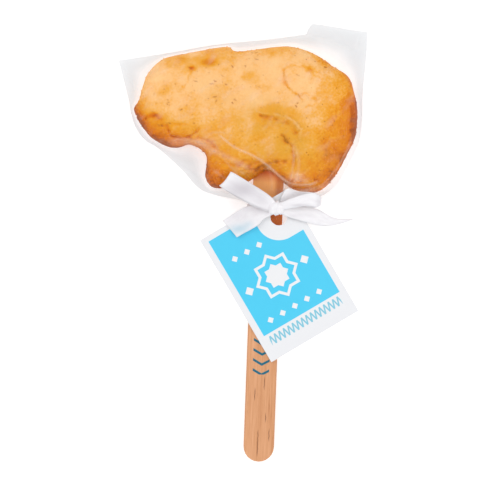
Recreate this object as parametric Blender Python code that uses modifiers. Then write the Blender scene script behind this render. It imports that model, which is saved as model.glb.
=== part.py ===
"""A cookie on a stick, in a clear film bag tied with a satin bow and a hang tag.

It lies on its back on the floor, with the shown side up. The cookie is towards +Y and
the free end of the stick towards -Y. Lengths below are millimetres, and every mesh is
turned to metres as it is made. The origin is under the middle of the whole object.
"""
import math

import bmesh
import bpy
import numpy as np
from mathutils import Matrix, Vector
from mathutils.geometry import delaunay_2d_cdt

MM = 0.001
PARTS = "cookie_on_stick"
CUTTERS = "cookie_on_stick_cutters"

# ---------------------------------------------------------------- driving dimensions
GAP = 0.3

COOKIE_BASE = 0.6
COOKIE_TOP = 9.6
COOKIE_RIM_LOW = 2.4
COOKIE_RIM_HIGH = 3.6
COOKIE_SHOULDER = 7.5
COOKIE_UNDERCUT = 2.5
WAVE_DEPTH = 0.12
SLOW_WAVE = (0.31, 0.37)
CROSS_WAVE = (0.74, 0.52)
CROSS_SHARE = 0.6
COOKIE_RINGS = (0.45, 1.2, 2.6, 4.8)

STICK_LENGTH = 114.0
STICK_WIDTH = 10.0
STICK_THICK = 2.0
STICK_BASE = 2.2
STICK_TOP = STICK_BASE + STICK_THICK
STICK_EDGE = 0.35
STICK_FOOT = Vector((4.97, -71.9))
STICK_AIM = Vector((0.0365, 0.9993)).normalized()

FILM = 0.3
FILM_UNDERCUT = 2.0
SEAM_LOW = 2.7
SEAM_HIGH = 3.3
SEAM_SLOPE = 0.5
LIP = 0.35
CAVITY_OFFSET = 0.6
NECK = Vector((7.95, 11.0))
NECK_TOP = 13.0
NECK_HALF = 6.1
NECK_WALL = 0.7
NECK_WALL_REACH = 4.0
SLEEVE_REACH = 2.0
FUNNEL = 12.0
FUNNEL_CURVE = 1.6
FUNNEL_CLEAR = 0.1
FUNNEL_BELOW = 5.0
PLEAT = 0.35
PLEAT_SPREAD = 9.0
PLEAT_PHASE = 0.6
PLEAT_FOCUS = 3.0
PLEAT_START = (2.0, 6.0)
PLEAT_END = (10.0, 8.0)
FILM_STEP = 1.0
FILM_RINGS = (0.9, 1.8, 3.0, 5.0)
FILM_RINGS_BELOW = (0.7, 1.4, 2.4)
NECK_GRID = 1.3
NECK_GRID_REACH = 13.0

RIBBON_THICK = 0.36
TIE_WIDTH = 3.4
TIE_CORNER = 0.5
KNOT_PLACE = Vector((11.0, 11.2, 8.75))
KNOT_SIZE = Vector((5.2, 4.6, 2.6))
THREAD_PLACE = Vector((11.2, 9.85))
THREAD_SIZE = Vector((1.8, 0.8))

TAG_LONG = 46.35
TAG_SHORT = 33.2
TAG_THICK = 0.35
TAG_TURN = math.radians(30.4)
TAG_CENTRE = Vector((11.9, -10.85))
TAG_HOLE = Vector((11.7, 8.4))
TAG_HOLE_R = 2.8
TAG_LIFT = 2.05
TAG_RISE = (-9.0, 17.0)
TAG_TIP_RISE = 0.1
TAG_FLAT_HALF = 6.5
TAG_BEND = 1.6
TAG_DROOP_RIGHT = 3.0
TAG_REACH_RIGHT = 28.0
TAG_DROOP_LEFT = 1.3
TAG_REACH_LEFT = 18.0

COOKIE_OUTLINE = [
    (-35.6, 44.1), (-34.1, 47.0), (-33.1, 50.7), (-31.6, 54.8), (-29.0, 58.2),
    (-25.6, 60.5), (-20.2, 61.8), (-12.3, 63.3), (-7.0, 64.2), (-4.4, 64.1),
    (-2.5, 62.8), (2.3, 63.1), (8.8, 64.0), (14.7, 64.4), (20.3, 63.2),
    (25.2, 60.9), (29.6, 57.8), (33.8, 55.2), (35.6, 52.5), (36.5, 49.0),
    (37.4, 44.8), (37.6, 40.2), (37.2, 34.3), (35.4, 29.7), (33.2, 25.4),
    (29.8, 20.2), (25.9, 17.2), (22.0, 16.2), (17.7, 17.1), (14.4, 19.0),
    (12.1, 22.0), (8.2, 24.0), (4.6, 22.6), (2.3, 19.8), (-1.7, 18.3),
    (-4.9, 18.5), (-7.9, 17.8), (-10.8, 18.7), (-12.4, 21.8), (-12.0, 25.8),
    (-12.2, 28.7), (-14.4, 30.9), (-17.6, 32.2), (-20.7, 31.3), (-24.0, 31.3),
    (-28.1, 33.1), (-31.1, 35.4), (-33.5, 38.8), (-35.0, 41.8),
]

# Each run of the film's edge is one smooth curve, and the runs meet in corners.
BAG_RUNS = [
    [(-40.9, 59.9), (-24.0, 62.4), (-11.8, 64.6), (-4.9, 65.5), (7.8, 66.7), (20.7, 68.4)],
    [(20.7, 68.4), (21.5, 70.4), (22.8, 71.9)],
    [(22.8, 71.9), (31.5, 70.6), (40.9, 69.1)],
    [(40.9, 69.1), (40.4, 60.0), (39.3, 49.0), (39.1, 40.2), (38.7, 33.6), (37.0, 28.9),
     (34.7, 24.3), (31.1, 18.9), (26.7, 15.3), (21.5, 14.3), (17.0, 13.9), (14.05, 13.0)],
    [(14.05, 13.0), (14.05, 11.0), (14.05, 9.0), (14.5, 6.4)],
    [(14.5, 6.4), (8.0, 6.0), (1.4, 6.4)],
    [(1.4, 6.4), (1.85, 9.0), (1.85, 11.0), (1.85, 13.0)],
    [(1.85, 13.0), (-3.0, 14.3), (-9.3, 15.6), (-14.6, 17.9), (-20.1, 23.9),
     (-27.5, 30.7), (-32.3, 33.8), (-35.4, 38.1), (-36.8, 42.6), (-37.5, 46.5)],
    [(-37.5, 46.5), (-39.2, 53.2), (-40.9, 59.9)],
]

# The bag's inside leaves the cookie's edge here and runs down the funnel to the neck.
FUNNEL_LINE = [(21.0, 15.35), (17.2, 14.6), (13.6, 13.6), (13.6, 4.0),
               (2.3, 4.0), (2.3, 13.6), (-2.9, 15.0), (-7.2, 16.95)]
FUNNEL_SPAN = (-7.6, 21.4)
FUNNEL_ABOVE = 27.0

# Creases run along a line: points, half width, depth.
CREASES = [
    ([(12.8, 56.2), (13.4, 52.0), (15.7, 49.4), (17.4, 45.1)], 0.9, 0.8),
    ([(21.3, 47.7), (23.9, 47.1)], 0.7, 0.5),
    ([(-22.3, 38.5), (-15.5, 38.3), (-9.2, 37.6)], 1.0, 0.6),
    ([(16.1, 30.3), (16.9, 27.0), (17.0, 23.8)], 0.8, 0.7),
    ([(-6.4, 26.2), (-1.4, 25.0), (2.2, 25.6)], 0.9, 0.6),
]
# Dents are round or oval: centre, half widths, depth.
DENTS = [
    ((9.9, 41.3), (7.5, 3.7), 0.8),
    ((14.4, 34.8), (1.4, 2.1), 1.2),
    ((12.3, 26.1), (1.6, 0.9), 0.8),
    ((-27.5, 50.5), (3.2, 2.4), 0.4),
    ((27.0, 29.5), (4.0, 2.6), 0.35),
]

# The bow's strips: stations of (centre, half width), from the knot outwards.
LEFT_LOOP = [
    ((9.8, 11.8, 9.1), (0.7, 1.2, 0.0)),
    ((5.4, 14.3, 10.7), (1.0, 1.9, 0.0)),
    ((0.2, 17.3, 12.2), (1.25, 2.35, 0.0)),
    ((-4.3, 19.9, 12.5), (1.75, 2.2, 0.0)),
    ((-5.85, 20.75, 11.6), (1.83, 2.1, 0.0)),
    ((-4.2, 19.6, 10.85), (1.8, 2.1, 0.0)),
    ((0.0, 16.9, 10.0), (1.5, 2.2, 0.0)),
    ((5.2, 13.7, 9.1), (1.2, 1.7, 0.0)),
    ((9.6, 11.4, 8.5), (0.7, 1.1, 0.0)),
]
RIGHT_LOOP = [
    ((12.4, 11.6, 9.1), (-0.2, 1.2, 0.0)),
    ((16.2, 12.8, 10.3), (-0.5, 1.9, 0.2)),
    ((20.6, 14.0, 10.8), (-0.4, 2.3, 0.3)),
    ((24.0, 14.0, 10.3), (-0.1, 2.4, 0.3)),
    ((24.9, 13.8, 9.3), (0.0, 2.4, 0.2)),
    ((23.8, 13.5, 8.3), (0.0, 2.4, 0.0)),
    ((20.0, 12.8, 8.0), (-0.3, 2.3, 0.0)),
    ((16.0, 11.9, 8.2), (-0.3, 1.8, 0.0)),
    ((12.6, 11.3, 8.4), (-0.1, 1.1, 0.0)),
]
LEFT_TAIL = [
    ((10.0, 10.7, 8.5), (-0.3, 1.1, 0.0)),
    ((6.0, 10.0, 8.1), (-0.9, 2.0, 0.0)),
    ((0.6, 7.5, 7.7), (-1.5, 2.6, 0.0)),
    ((-3.95, 4.75, 7.3), (-2.95, 2.65, 0.0)),
]
RIGHT_TAIL = [
    ((12.2, 10.7, 8.5), (0.1, 1.1, 0.0)),
    ((16.0, 9.9, 8.0), (0.3, 1.9, 0.0)),
    ((20.5, 8.9, 7.7), (0.4, 2.6, 0.2)),
    ((25.6, 8.0, 6.8), (0.0, 2.7, 0.2)),
    ((31.0, 7.6, 5.8), (0.0, 1.6, 0.1)),
    ((36.0, 7.5, 5.0), (0.0, 0.3, 0.0)),
]


# ---------------------------------------------------------------- curves
def smooth(padded, steps):
    """Catmull-Rom curve from the second point to the last but one."""
    pts = np.array(padded, float)
    made = []
    for a, b, c, d in zip(pts, pts[1:], pts[2:], pts[3:]):
        for t in np.linspace(0.0, 1.0, steps, endpoint=False):
            bend = 2 * a - 5 * b + 4 * c - d
            made.append(0.5 * (2 * b + (c - a) * t + bend * t * t
                               + (3 * b - a - 3 * c + d) * t ** 3))
    made.append(pts[-2])
    return np.array(made)


def even(line, spacing):
    """The line cut again in equal steps near the spacing."""
    run = np.r_[0.0, np.cumsum(np.linalg.norm(np.diff(line, axis=0), axis=1))]
    count = max(2, int(round(run[-1] / spacing)))
    at = np.linspace(0.0, run[-1], count + 1)
    return np.column_stack([np.interp(at, run, line[:, k]) for k in range(line.shape[1])])


def open_curve(points, steps=12):
    pts = np.array(points, float)
    return smooth(np.vstack([2 * pts[0] - pts[1], pts, 2 * pts[-1] - pts[-2]]), steps)


def closed_loop(points, spacing):
    pts = np.array(points, float)
    return even(smooth(np.vstack([pts[-1:], pts, pts[:2]]), 12), spacing)[:-1]


class Region:
    """A flat region inside one closed line, with depth counted inwards from the line."""

    def __init__(self, loop):
        self.loop = np.array(loop)
        self.step = np.roll(self.loop, -1, axis=0) - self.loop

    def depth(self, xy):
        xy = np.atleast_2d(np.array(xy, float))
        rel = xy[:, None, :] - self.loop[None]
        along = np.clip((rel * self.step).sum(2) / (self.step ** 2).sum(1), 0.0, 1.0)
        away = np.sqrt(((rel - along[..., None] * self.step) ** 2).sum(2)).min(1)
        y0 = self.loop[:, 1]
        y = xy[:, 1:2]
        spans = (y0 > y) != (y0 + self.step[:, 1] > y)
        rise = np.where(self.step[:, 1] == 0, 1.0, self.step[:, 1])
        cross = self.loop[:, 0] + (y - y0) * self.step[:, 0] / rise
        inside = (spans & (xy[:, 0:1] < cross)).sum(1) % 2 == 1
        return np.where(inside, away, -away)

    def ring(self, inset, spacing):
        """The line moved in by the inset, kept where no other part of it is nearer."""
        dense = even(np.vstack([self.loop, self.loop[:1]]), 0.5)[:-1]
        tangent = np.roll(dense, -1, axis=0) - np.roll(dense, 1, axis=0)
        tangent /= np.linalg.norm(tangent, axis=1)[:, None]
        following = np.roll(self.loop, -1, axis=0)
        area = (self.loop[:, 0] * following[:, 1] - self.loop[:, 1] * following[:, 0]).sum()
        inward = np.column_stack([-tangent[:, 1], tangent[:, 0]]) * np.sign(area)
        moved = dense + inward * inset
        moved = moved[np.abs(self.depth(moved) - inset) < 0.04 + 0.05 * abs(inset)]
        return thin_out(moved, spacing)

    def grid(self, step, margin):
        """Points in offset rows, no nearer to the line than the margin."""
        low = self.loop.min(0)
        high = self.loop.max(0)
        rows = np.arange(low[1], high[1], step * 0.866)
        points = np.array([(x + step / 2 * (i % 2), y) for i, y in enumerate(rows)
                           for x in np.arange(low[0], high[0], step)])
        return points[self.depth(points) > margin]


def thin_out(points, spacing):
    kept = []
    for p in points:
        if all((p[0] - q[0]) ** 2 + (p[1] - q[1]) ** 2 > spacing ** 2 for q in kept):
            kept.append(p)
    return np.array(kept).reshape(-1, 2)


def fill_points(region, insets, spacing, grid, given=()):
    """Points inside the region: given ones, then rings and a grid that keep clear of them."""
    given = thin_out(np.array(given).reshape(-1, 2), 0.7)
    rings = [region.ring(inset, spacing) for inset in insets]
    more = np.vstack(rings + [region.grid(grid, insets[-1] + 1.2)])
    if len(given):
        more = more[np.linalg.norm(more[:, None] - given[None], axis=2).min(1) > 0.8]
    points = np.vstack([given, thin_out(more, 0.45)])
    return points[region.depth(points) > 0.12]


# ---------------------------------------------------------------- objects
def finish_object(name, bm, collection):
    bmesh.ops.scale(bm, vec=(MM, MM, MM), verts=bm.verts)
    bmesh.ops.recalc_face_normals(bm, faces=bm.faces)
    mesh = bpy.data.meshes.new(name)
    bm.to_mesh(mesh)
    bm.free()
    obj = bpy.data.objects.new(name, mesh)
    bpy.data.collections[collection].objects.link(obj)
    return obj


def part(name, bm, color, roughness, alpha=1.0):
    obj = finish_object(name, bm, PARTS)
    material = bpy.data.materials.new(name + "_finish")
    material.use_nodes = True
    shader = material.node_tree.nodes["Principled BSDF"]
    shader.inputs["Base Color"].default_value = (*color, 1.0)
    shader.inputs["Roughness"].default_value = roughness
    shader.inputs["Alpha"].default_value = alpha
    obj.data.materials.append(material)
    return obj


def helper(name, bm):
    obj = finish_object(name, bm, CUTTERS)
    obj.hide_render = True
    obj.display_type = "WIRE"
    return obj


def boolean(target, other, operation):
    modifier = target.modifiers.new(other.name, "BOOLEAN")
    modifier.operation = operation
    modifier.solver = "EXACT"
    modifier.object = other


def flat_solid(loops, thickness):
    """A filled 2D curve, extruded to the thickness about z = 0, as a welded bmesh."""
    curve = bpy.data.curves.new("outline", "CURVE")
    curve.dimensions = "2D"
    curve.fill_mode = "BOTH"
    curve.extrude = thickness / 2
    for loop in loops:
        line = curve.splines.new("POLY")
        line.points.add(len(loop) - 1)
        for point, (x, y) in zip(line.points, loop):
            point.co = (x, y, 0.0, 1.0)
        line.use_cyclic_u = True
    drawn = bpy.data.objects.new("outline", curve)
    bpy.context.scene.collection.objects.link(drawn)
    graph = bpy.context.evaluated_depsgraph_get()
    mesh = bpy.data.meshes.new_from_object(drawn.evaluated_get(graph))
    bpy.data.objects.remove(drawn)
    bm = bmesh.new()
    bm.from_mesh(mesh)
    bmesh.ops.remove_doubles(bm, verts=bm.verts, dist=0.0001)
    return bm


def sheet(bm, loop, inner, height):
    """One height field inside the loop. Returns the rim's vertices in loop order."""
    flat = [Vector(p) for p in loop] + [Vector(p) for p in inner]
    edges = [(i, (i + 1) % len(loop)) for i in range(len(loop))]
    points, _, faces, source, _, _ = delaunay_2d_cdt(flat, edges, [], 1, 1e-5)
    z = height(np.array([(p.x, p.y) for p in points]))
    made = [bm.verts.new((p.x, p.y, h)) for p, h in zip(points, z)]
    for face in faces:
        bm.faces.new([made[i] for i in face])
    where = {given: made[i] for i, inputs in enumerate(source) for given in inputs}
    return [where[i] for i in range(len(loop))]


def lens(loop, top_points, bottom_points, top, bottom):
    """Closed solid between two height fields that share one outline."""
    bm = bmesh.new()
    upper = sheet(bm, loop, top_points, top)
    lower = sheet(bm, loop, bottom_points, bottom)
    for i in range(len(loop)):
        j = (i + 1) % len(loop)
        bm.faces.new((upper[i], upper[j], lower[j], lower[i]))
    bmesh.ops.triangulate(bm, faces=bm.faces)
    return bm


# ---------------------------------------------------------------- cookie
def ease(t):
    t = np.clip(t, 0.0, 1.0)
    return t * t * (3 - 2 * t)


def quarter_round(depth, reach):
    return np.sqrt(1.0 - (1.0 - np.clip(depth / reach, 0.0, 1.0)) ** 2)


def dome(depth):
    """Smooth top of the cookie, before any dents."""
    return COOKIE_RIM_HIGH + (COOKIE_TOP - COOKIE_RIM_HIGH) * quarter_round(depth, COOKIE_SHOULDER)


def underside(depth, reach):
    return COOKIE_RIM_LOW - (COOKIE_RIM_LOW - COOKIE_BASE) * quarter_round(depth, reach)


def line_distance(xy, line):
    step = line[1:] - line[:-1]
    rel = xy[:, None, :] - line[None, :-1]
    along = np.clip((rel * step).sum(2) / (step ** 2).sum(1), 0.0, 1.0)[..., None]
    return np.sqrt(((rel - along * step) ** 2).sum(2)).min(1)


def relief(xy):
    """Depth of the creases, dents and slow waves in the baked top, always downwards."""
    deep = np.zeros(len(xy))
    for points, width, depth in CREASES:
        deep += depth * np.exp(-(line_distance(xy, open_curve(points)) / width) ** 2)
    for centre, half, depth in DENTS:
        r2 = (((xy - np.array(centre)) / np.array(half)) ** 2).sum(1)
        deep += depth * np.exp(-r2 ** 2)
    waves = np.sin(xy[:, 0] * SLOW_WAVE[0] + 1.2) * np.sin(xy[:, 1] * SLOW_WAVE[1] + 0.4)
    waves += CROSS_SHARE * np.sin(xy @ np.array(CROSS_WAVE))
    return deep + WAVE_DEPTH * (1.0 + CROSS_SHARE + waves)


def relief_points():
    """Mesh points along and beside each crease, and in and round each dent."""
    points = []
    for line, width, _ in CREASES:
        centre = even(open_curve(line), 1.5)
        tangent = np.gradient(centre, axis=0)
        tangent /= np.linalg.norm(tangent, axis=1)[:, None]
        side = np.column_stack([-tangent[:, 1], tangent[:, 0]]) * width
        points += [*centre, *(centre + side), *(centre - side)]
    turns = np.arange(8) * math.tau / 8
    for centre, half, _ in DENTS:
        points.append(np.array(centre))
        points += list(np.array(centre) + np.column_stack([np.cos(turns), np.sin(turns)]) * half)
    return points


def build_cookie(region):
    top = fill_points(region, COOKIE_RINGS, 2.3, 3.0, relief_points())
    bottom = fill_points(region, (0.7, 2.5), 3.0, 9.0)

    def crust(p):
        depth = region.depth(p)
        return dome(depth) - relief(p) * ease(depth / COOKIE_UNDERCUT)

    bm = lens(region.loop, top, bottom, crust,
              lambda p: underside(region.depth(p), COOKIE_UNDERCUT))
    cookie = part("cookie", bm, (0.80, 0.43, 0.13), 0.75)
    slot = flat_solid([stick_loop(GAP)], STICK_THICK + 2 * GAP)
    bmesh.ops.translate(slot, verts=slot.verts, vec=(0, 0, STICK_BASE + STICK_THICK / 2))
    boolean(cookie, helper("stick_slot", slot), "DIFFERENCE")


# ---------------------------------------------------------------- stick
def stick_loop(growth):
    """The stick's round-ended outline, grown outwards by the given amount."""
    half = STICK_WIDTH / 2
    across = Vector((STICK_AIM.y, -STICK_AIM.x))
    ends = ((STICK_FOOT + STICK_AIM * (STICK_LENGTH - half), 1), (STICK_FOOT + STICK_AIM * half, -1))
    loop = []
    for centre, way in ends:
        for i in range(13):
            angle = math.pi * i / 12
            turn = across * math.cos(angle) + STICK_AIM * math.sin(angle)
            loop.append(tuple(centre + turn * (half + growth) * way))
    return loop


def build_stick():
    bm = flat_solid([stick_loop(0.0)], STICK_THICK)
    bmesh.ops.translate(bm, verts=bm.verts, vec=(0, 0, STICK_BASE + STICK_THICK / 2))
    stick = part("stick", bm, (0.62, 0.36, 0.19), 0.65)
    bevel = stick.modifiers.new("worn_edge", "BEVEL")
    bevel.width = STICK_EDGE * MM
    bevel.segments = 2
    bevel.limit_method = "ANGLE"
    bevel.angle_limit = math.radians(40)


# ---------------------------------------------------------------- film bag
def neck_distance(xy):
    """Distance from the upper end of the tied neck."""
    out = (np.abs(xy[:, 0] - NECK.x) - NECK_HALF).clip(0.0, None)
    return np.hypot(out, (xy[:, 1] - NECK_TOP).clip(0.0, None))


def funnel_top(xy):
    """Inside height of the film, drawn down from the cookie to the tied neck."""
    low = STICK_TOP + GAP
    high = COOKIE_TOP + GAP + FUNNEL_CLEAR
    rise = np.clip(neck_distance(xy) / FUNNEL, 0.0, 1.0)
    return low + (high - low) * np.sin(rise * math.pi / 2) ** FUNNEL_CURVE


def funnel_bottom(xy):
    high = STICK_BASE - GAP
    low = COOKIE_BASE - GAP
    return high - (high - low) * ease(neck_distance(xy) / FUNNEL_BELOW)


def sleeve(xy):
    """Takes the rounded edges away where the film becomes a flat sleeve for the stick."""
    return COOKIE_UNDERCUT * (1.0 - ease(neck_distance(xy) / SLEEVE_REACH))


def pleats(xy):
    """Folds that fan out of the neck over the lower edge of the cookie."""
    angle = np.arctan2(xy[:, 0] - NECK.x, xy[:, 1] - NECK.y + PLEAT_FOCUS)
    r = neck_distance(xy)
    swell = ease((r - PLEAT_START[0]) / PLEAT_START[1]) * (1.0 - ease((r - PLEAT_END[0]) / PLEAT_END[1]))
    return PLEAT * swell * (0.5 + 0.5 * np.cos(angle * PLEAT_SPREAD + PLEAT_PHASE))


def neck_wall(xy):
    return FILM + (NECK_WALL - FILM) * (1.0 - ease(neck_distance(xy) / NECK_WALL_REACH))


def cavity_region(cookie_region):
    """Inside line of the bag: close round the cookie, then a funnel and a channel."""
    around = cookie_region.ring(-CAVITY_OFFSET, 0.3)
    over = (around[:, 0] > FUNNEL_SPAN[0]) & (around[:, 0] < FUNNEL_SPAN[1])
    over &= around[:, 1] < FUNNEL_ABOVE
    first = int(np.argmax(over))
    around = np.roll(around, -first, axis=0)[~np.roll(over, -first)]
    if around[0][0] > around[-1][0]:
        around = around[::-1]
    return Region(even(np.vstack([around, FUNNEL_LINE, around[:1]]), 1.7)[:-1])


def film_heights(cavity, outer):
    """The film's four faces as height fields: outside top and bottom, inside top and bottom."""

    def seam(p, depth):
        """1 at the inside's line, and 0 on the flat seam or at the film's edge where that is nearer."""
        margin = np.clip(outer.depth(p) - depth, GAP, LIP + SEAM_SLOPE)
        slope = 1.0 - ease((-depth * (LIP + SEAM_SLOPE) / margin - LIP) / SEAM_SLOPE)
        sides = 1.0 - ease((-depth - LIP) / SEAM_SLOPE)
        return np.maximum(slope, sides * (1.0 - ease(neck_distance(p) / SLEEVE_REACH)))

    def top(p):
        depth = cavity.depth(p)
        high = np.minimum(dome(depth + LIP + sleeve(p)) + 2 * GAP, funnel_top(p) + neck_wall(p))
        high = np.maximum(high + pleats(p) * ease(depth / 3.0), SEAM_HIGH)
        return SEAM_HIGH + (high - SEAM_HIGH) * seam(p, depth)

    def bottom(p):
        depth = cavity.depth(p)
        low = np.maximum(underside(depth + LIP + sleeve(p), FILM_UNDERCUT) - 2 * GAP,
                         funnel_bottom(p) - neck_wall(p))
        return SEAM_LOW + (np.clip(low, 0.0, SEAM_LOW) - SEAM_LOW) * seam(p, depth)

    def inner_top(p):
        depth = cavity.depth(p)
        high = np.minimum(dome(depth + sleeve(p)) + GAP, funnel_top(p))
        return high + pleats(p) * ease(depth / 3.0)

    def inner_bottom(p):
        depth = cavity.depth(p) + sleeve(p)
        return np.maximum(underside(depth, FILM_UNDERCUT) - GAP, funnel_bottom(p))

    return top, bottom, inner_top, inner_bottom


def neck_points(cavity):
    """Close points round the upper end of the neck, where the film's heights change fast."""
    points = cavity.grid(NECK_GRID, 0.8)
    return points[(neck_distance(points) < NECK_GRID_REACH) & (points[:, 1] > NECK_TOP - NECK_GRID)]


def build_bag(cavity):
    loop = np.vstack([even(open_curve(run), 2.0)[:-1] for run in BAG_RUNS])
    outer = Region(loop)
    top, bottom, inner_top, inner_bottom = film_heights(cavity, outer)
    lip = cavity.ring(-LIP, 1.9)
    near = neck_points(cavity)
    rim = [near, cavity.ring(-LIP - SEAM_SLOPE, 1.9), lip[outer.depth(lip) > SEAM_SLOPE - 0.1],
           cavity.ring(0.05, FILM_STEP)]
    above = [cavity.ring(inset, 1.9) for inset in FILM_RINGS]
    above = thin_out(np.vstack(rim + above + [cavity.grid(3.6, 6.2)]), 0.3)
    below = [cavity.ring(inset, 1.9) for inset in FILM_RINGS_BELOW]
    below = thin_out(np.vstack(rim + below + [cavity.grid(9.0, 6.0)]), 0.3)
    above = above[outer.depth(above) > 0.15]
    below = below[outer.depth(below) > 0.15]
    bag = part("bag", lens(loop, above, below, top, bottom), (0.93, 0.93, 0.94), 0.15, 0.3)
    upper = fill_points(cavity, (0.5, 1.3, 2.8, 5.0), 1.9, 3.8, near)
    lower = fill_points(cavity, (0.3, 0.9, 2.1), 1.6, 9.0, near)
    hollow = lens(cavity.loop, upper, lower, inner_top, inner_bottom)
    boolean(bag, helper("bag_hollow", hollow), "DIFFERENCE")


# ---------------------------------------------------------------- ribbon
def ribbon_strip(name, stations, cuts):
    """A strip laid along its stations, as a grid that Solidify thickens."""
    centres = open_curve([s[0] for s in stations], 8)
    halves = open_curve([s[1] for s in stations], 8)
    places = np.linspace(0.0, 1.0, len(centres))
    bm = bmesh.new()
    bmesh.ops.create_grid(bm, x_segments=2, y_segments=cuts, size=1.0)
    for v in bm.verts:
        t = (v.co.y + 1.0) / 2.0
        centre = Vector([np.interp(t, places, centres[:, k]) for k in range(3)])
        half = Vector([np.interp(t, places, halves[:, k]) for k in range(3)])
        v.co = centre + half * v.co.x
    strip = helper(name, bm)
    solid = strip.modifiers.new("thickness", "SOLIDIFY")
    solid.thickness = RIBBON_THICK * MM
    solid.offset = 0.0
    return strip


def rounded_box(half_x, half_y, radius):
    loop = []
    for turn, (x, y) in enumerate(((1, 1), (-1, 1), (-1, -1), (1, -1))):
        for i in range(4):
            angle = math.pi / 2 * (turn + i / 3)
            loop.append((x * (half_x - radius) + radius * math.cos(angle),
                         y * (half_y - radius) + radius * math.sin(angle)))
    return loop


def tie_band():
    """The turns of ribbon round the neck, as a flat ring standing across the stick."""
    half_x = NECK_HALF + GAP
    half_z = STICK_THICK / 2 + GAP + NECK_WALL + GAP
    inside = rounded_box(half_x, half_z, TIE_CORNER)
    outside = rounded_box(half_x + RIBBON_THICK, half_z + RIBBON_THICK, TIE_CORNER + RIBBON_THICK)
    bm = flat_solid([outside, inside], TIE_WIDTH)
    bmesh.ops.rotate(bm, verts=bm.verts, matrix=Matrix.Rotation(math.pi / 2, 3, "X"))
    middle = (NECK.x, NECK.y, STICK_BASE + STICK_THICK / 2)
    bmesh.ops.translate(bm, verts=bm.verts, vec=middle)
    return bm


def knot():
    bm = bmesh.new()
    bmesh.ops.create_uvsphere(bm, u_segments=14, v_segments=8, radius=0.5)
    bmesh.ops.scale(bm, verts=bm.verts, vec=KNOT_SIZE)
    bmesh.ops.translate(bm, verts=bm.verts, vec=KNOT_PLACE)
    return bm


def thread():
    """The short length of ribbon that goes up through the tag's hole to the knot."""
    low = STICK_TOP + GAP + NECK_WALL + GAP + RIBBON_THICK / 2
    high = KNOT_PLACE.z - 0.2
    bm = bmesh.new()
    bmesh.ops.create_cube(bm, size=1.0)
    bmesh.ops.scale(bm, verts=bm.verts, vec=(THREAD_SIZE.x, THREAD_SIZE.y, high - low))
    middle = (THREAD_PLACE.x, THREAD_PLACE.y, (low + high) / 2)
    bmesh.ops.translate(bm, verts=bm.verts, vec=middle)
    return bm


def build_ribbon():
    ribbon = part("ribbon", tie_band(), (0.90, 0.88, 0.87), 0.35)
    boolean(ribbon, helper("bow_thread", thread()), "UNION")
    boolean(ribbon, helper("bow_knot", knot()), "UNION")
    boolean(ribbon, ribbon_strip("bow_left_loop", LEFT_LOOP, 26), "UNION")
    boolean(ribbon, ribbon_strip("bow_right_loop", RIGHT_LOOP, 24), "UNION")
    boolean(ribbon, ribbon_strip("bow_left_tail", LEFT_TAIL, 12), "UNION")
    boolean(ribbon, ribbon_strip("bow_right_tail", RIGHT_TAIL, 16), "UNION")


# ---------------------------------------------------------------- tag
def tag_height(x, y):
    """Middle of the card: over the tied neck at the hole, resting on the stick below it."""
    stick_x = STICK_FOOT.x + (y - STICK_FOOT.y) * STICK_AIM.x / STICK_AIM.y
    height = STICK_TOP + GAP + TAG_THICK / 2 + TAG_LIFT * ease((y - TAG_RISE[0]) / TAG_RISE[1])
    height += TAG_TIP_RISE * max(y - TAG_HOLE.y, 0.0)
    right = max(x - stick_x - TAG_FLAT_HALF, 0.0) / TAG_REACH_RIGHT
    left = max(stick_x - TAG_FLAT_HALF - x, 0.0) / TAG_REACH_LEFT
    return height - TAG_DROOP_RIGHT * right ** TAG_BEND - TAG_DROOP_LEFT * left ** TAG_BEND


def build_tag():
    bm = bmesh.new()
    bmesh.ops.create_grid(bm, x_segments=8, y_segments=11, size=0.5)
    bmesh.ops.scale(bm, verts=bm.verts, vec=(TAG_SHORT, TAG_LONG, 1.0))
    bmesh.ops.rotate(bm, verts=bm.verts, matrix=Matrix.Rotation(TAG_TURN, 3, "Z"))
    bmesh.ops.translate(bm, verts=bm.verts, vec=(*TAG_CENTRE, 0.0))
    for v in bm.verts:
        v.co.z = tag_height(v.co.x, v.co.y)
    tag = part("tag", bm, (0.88, 0.89, 0.90), 0.55)
    card = tag.modifiers.new("card", "SOLIDIFY")
    card.thickness = TAG_THICK * MM
    card.offset = 0.0
    punch = bmesh.new()
    bmesh.ops.create_cone(punch, cap_ends=True, segments=24, radius1=TAG_HOLE_R,
                          radius2=TAG_HOLE_R, depth=8.0)
    bmesh.ops.translate(punch, verts=punch.verts, vec=(*TAG_HOLE, tag_height(*TAG_HOLE)))
    boolean(tag, helper("tag_punch", punch), "DIFFERENCE")


def main():
    for obj in list(bpy.data.objects):
        bpy.data.objects.remove(obj)
    for name in (PARTS, CUTTERS):
        bpy.context.scene.collection.children.link(bpy.data.collections.new(name))
    cookie_region = Region(closed_loop(COOKIE_OUTLINE, 1.7))
    build_cookie(cookie_region)
    build_stick()
    build_bag(cavity_region(cookie_region))
    build_ribbon()
    build_tag()


main()
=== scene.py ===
# %% [markdown]
# # A baked cookie on a stick, wrapped, tied and tagged
# This lesson dresses a plain model of a wrapped cookie until it looks like the real one. The
# solids come first. They are right in size and place, so each finished piece is built round
# them, in the same axes: +Y runs from the free end of the stick to the cookie and +Z points up.

# %% Load the solids
import math
from functools import partialmethod

import bmesh
import bpy
import numpy as np
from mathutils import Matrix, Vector, noise
from mathutils.geometry import delaunay_2d_cdt


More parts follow.
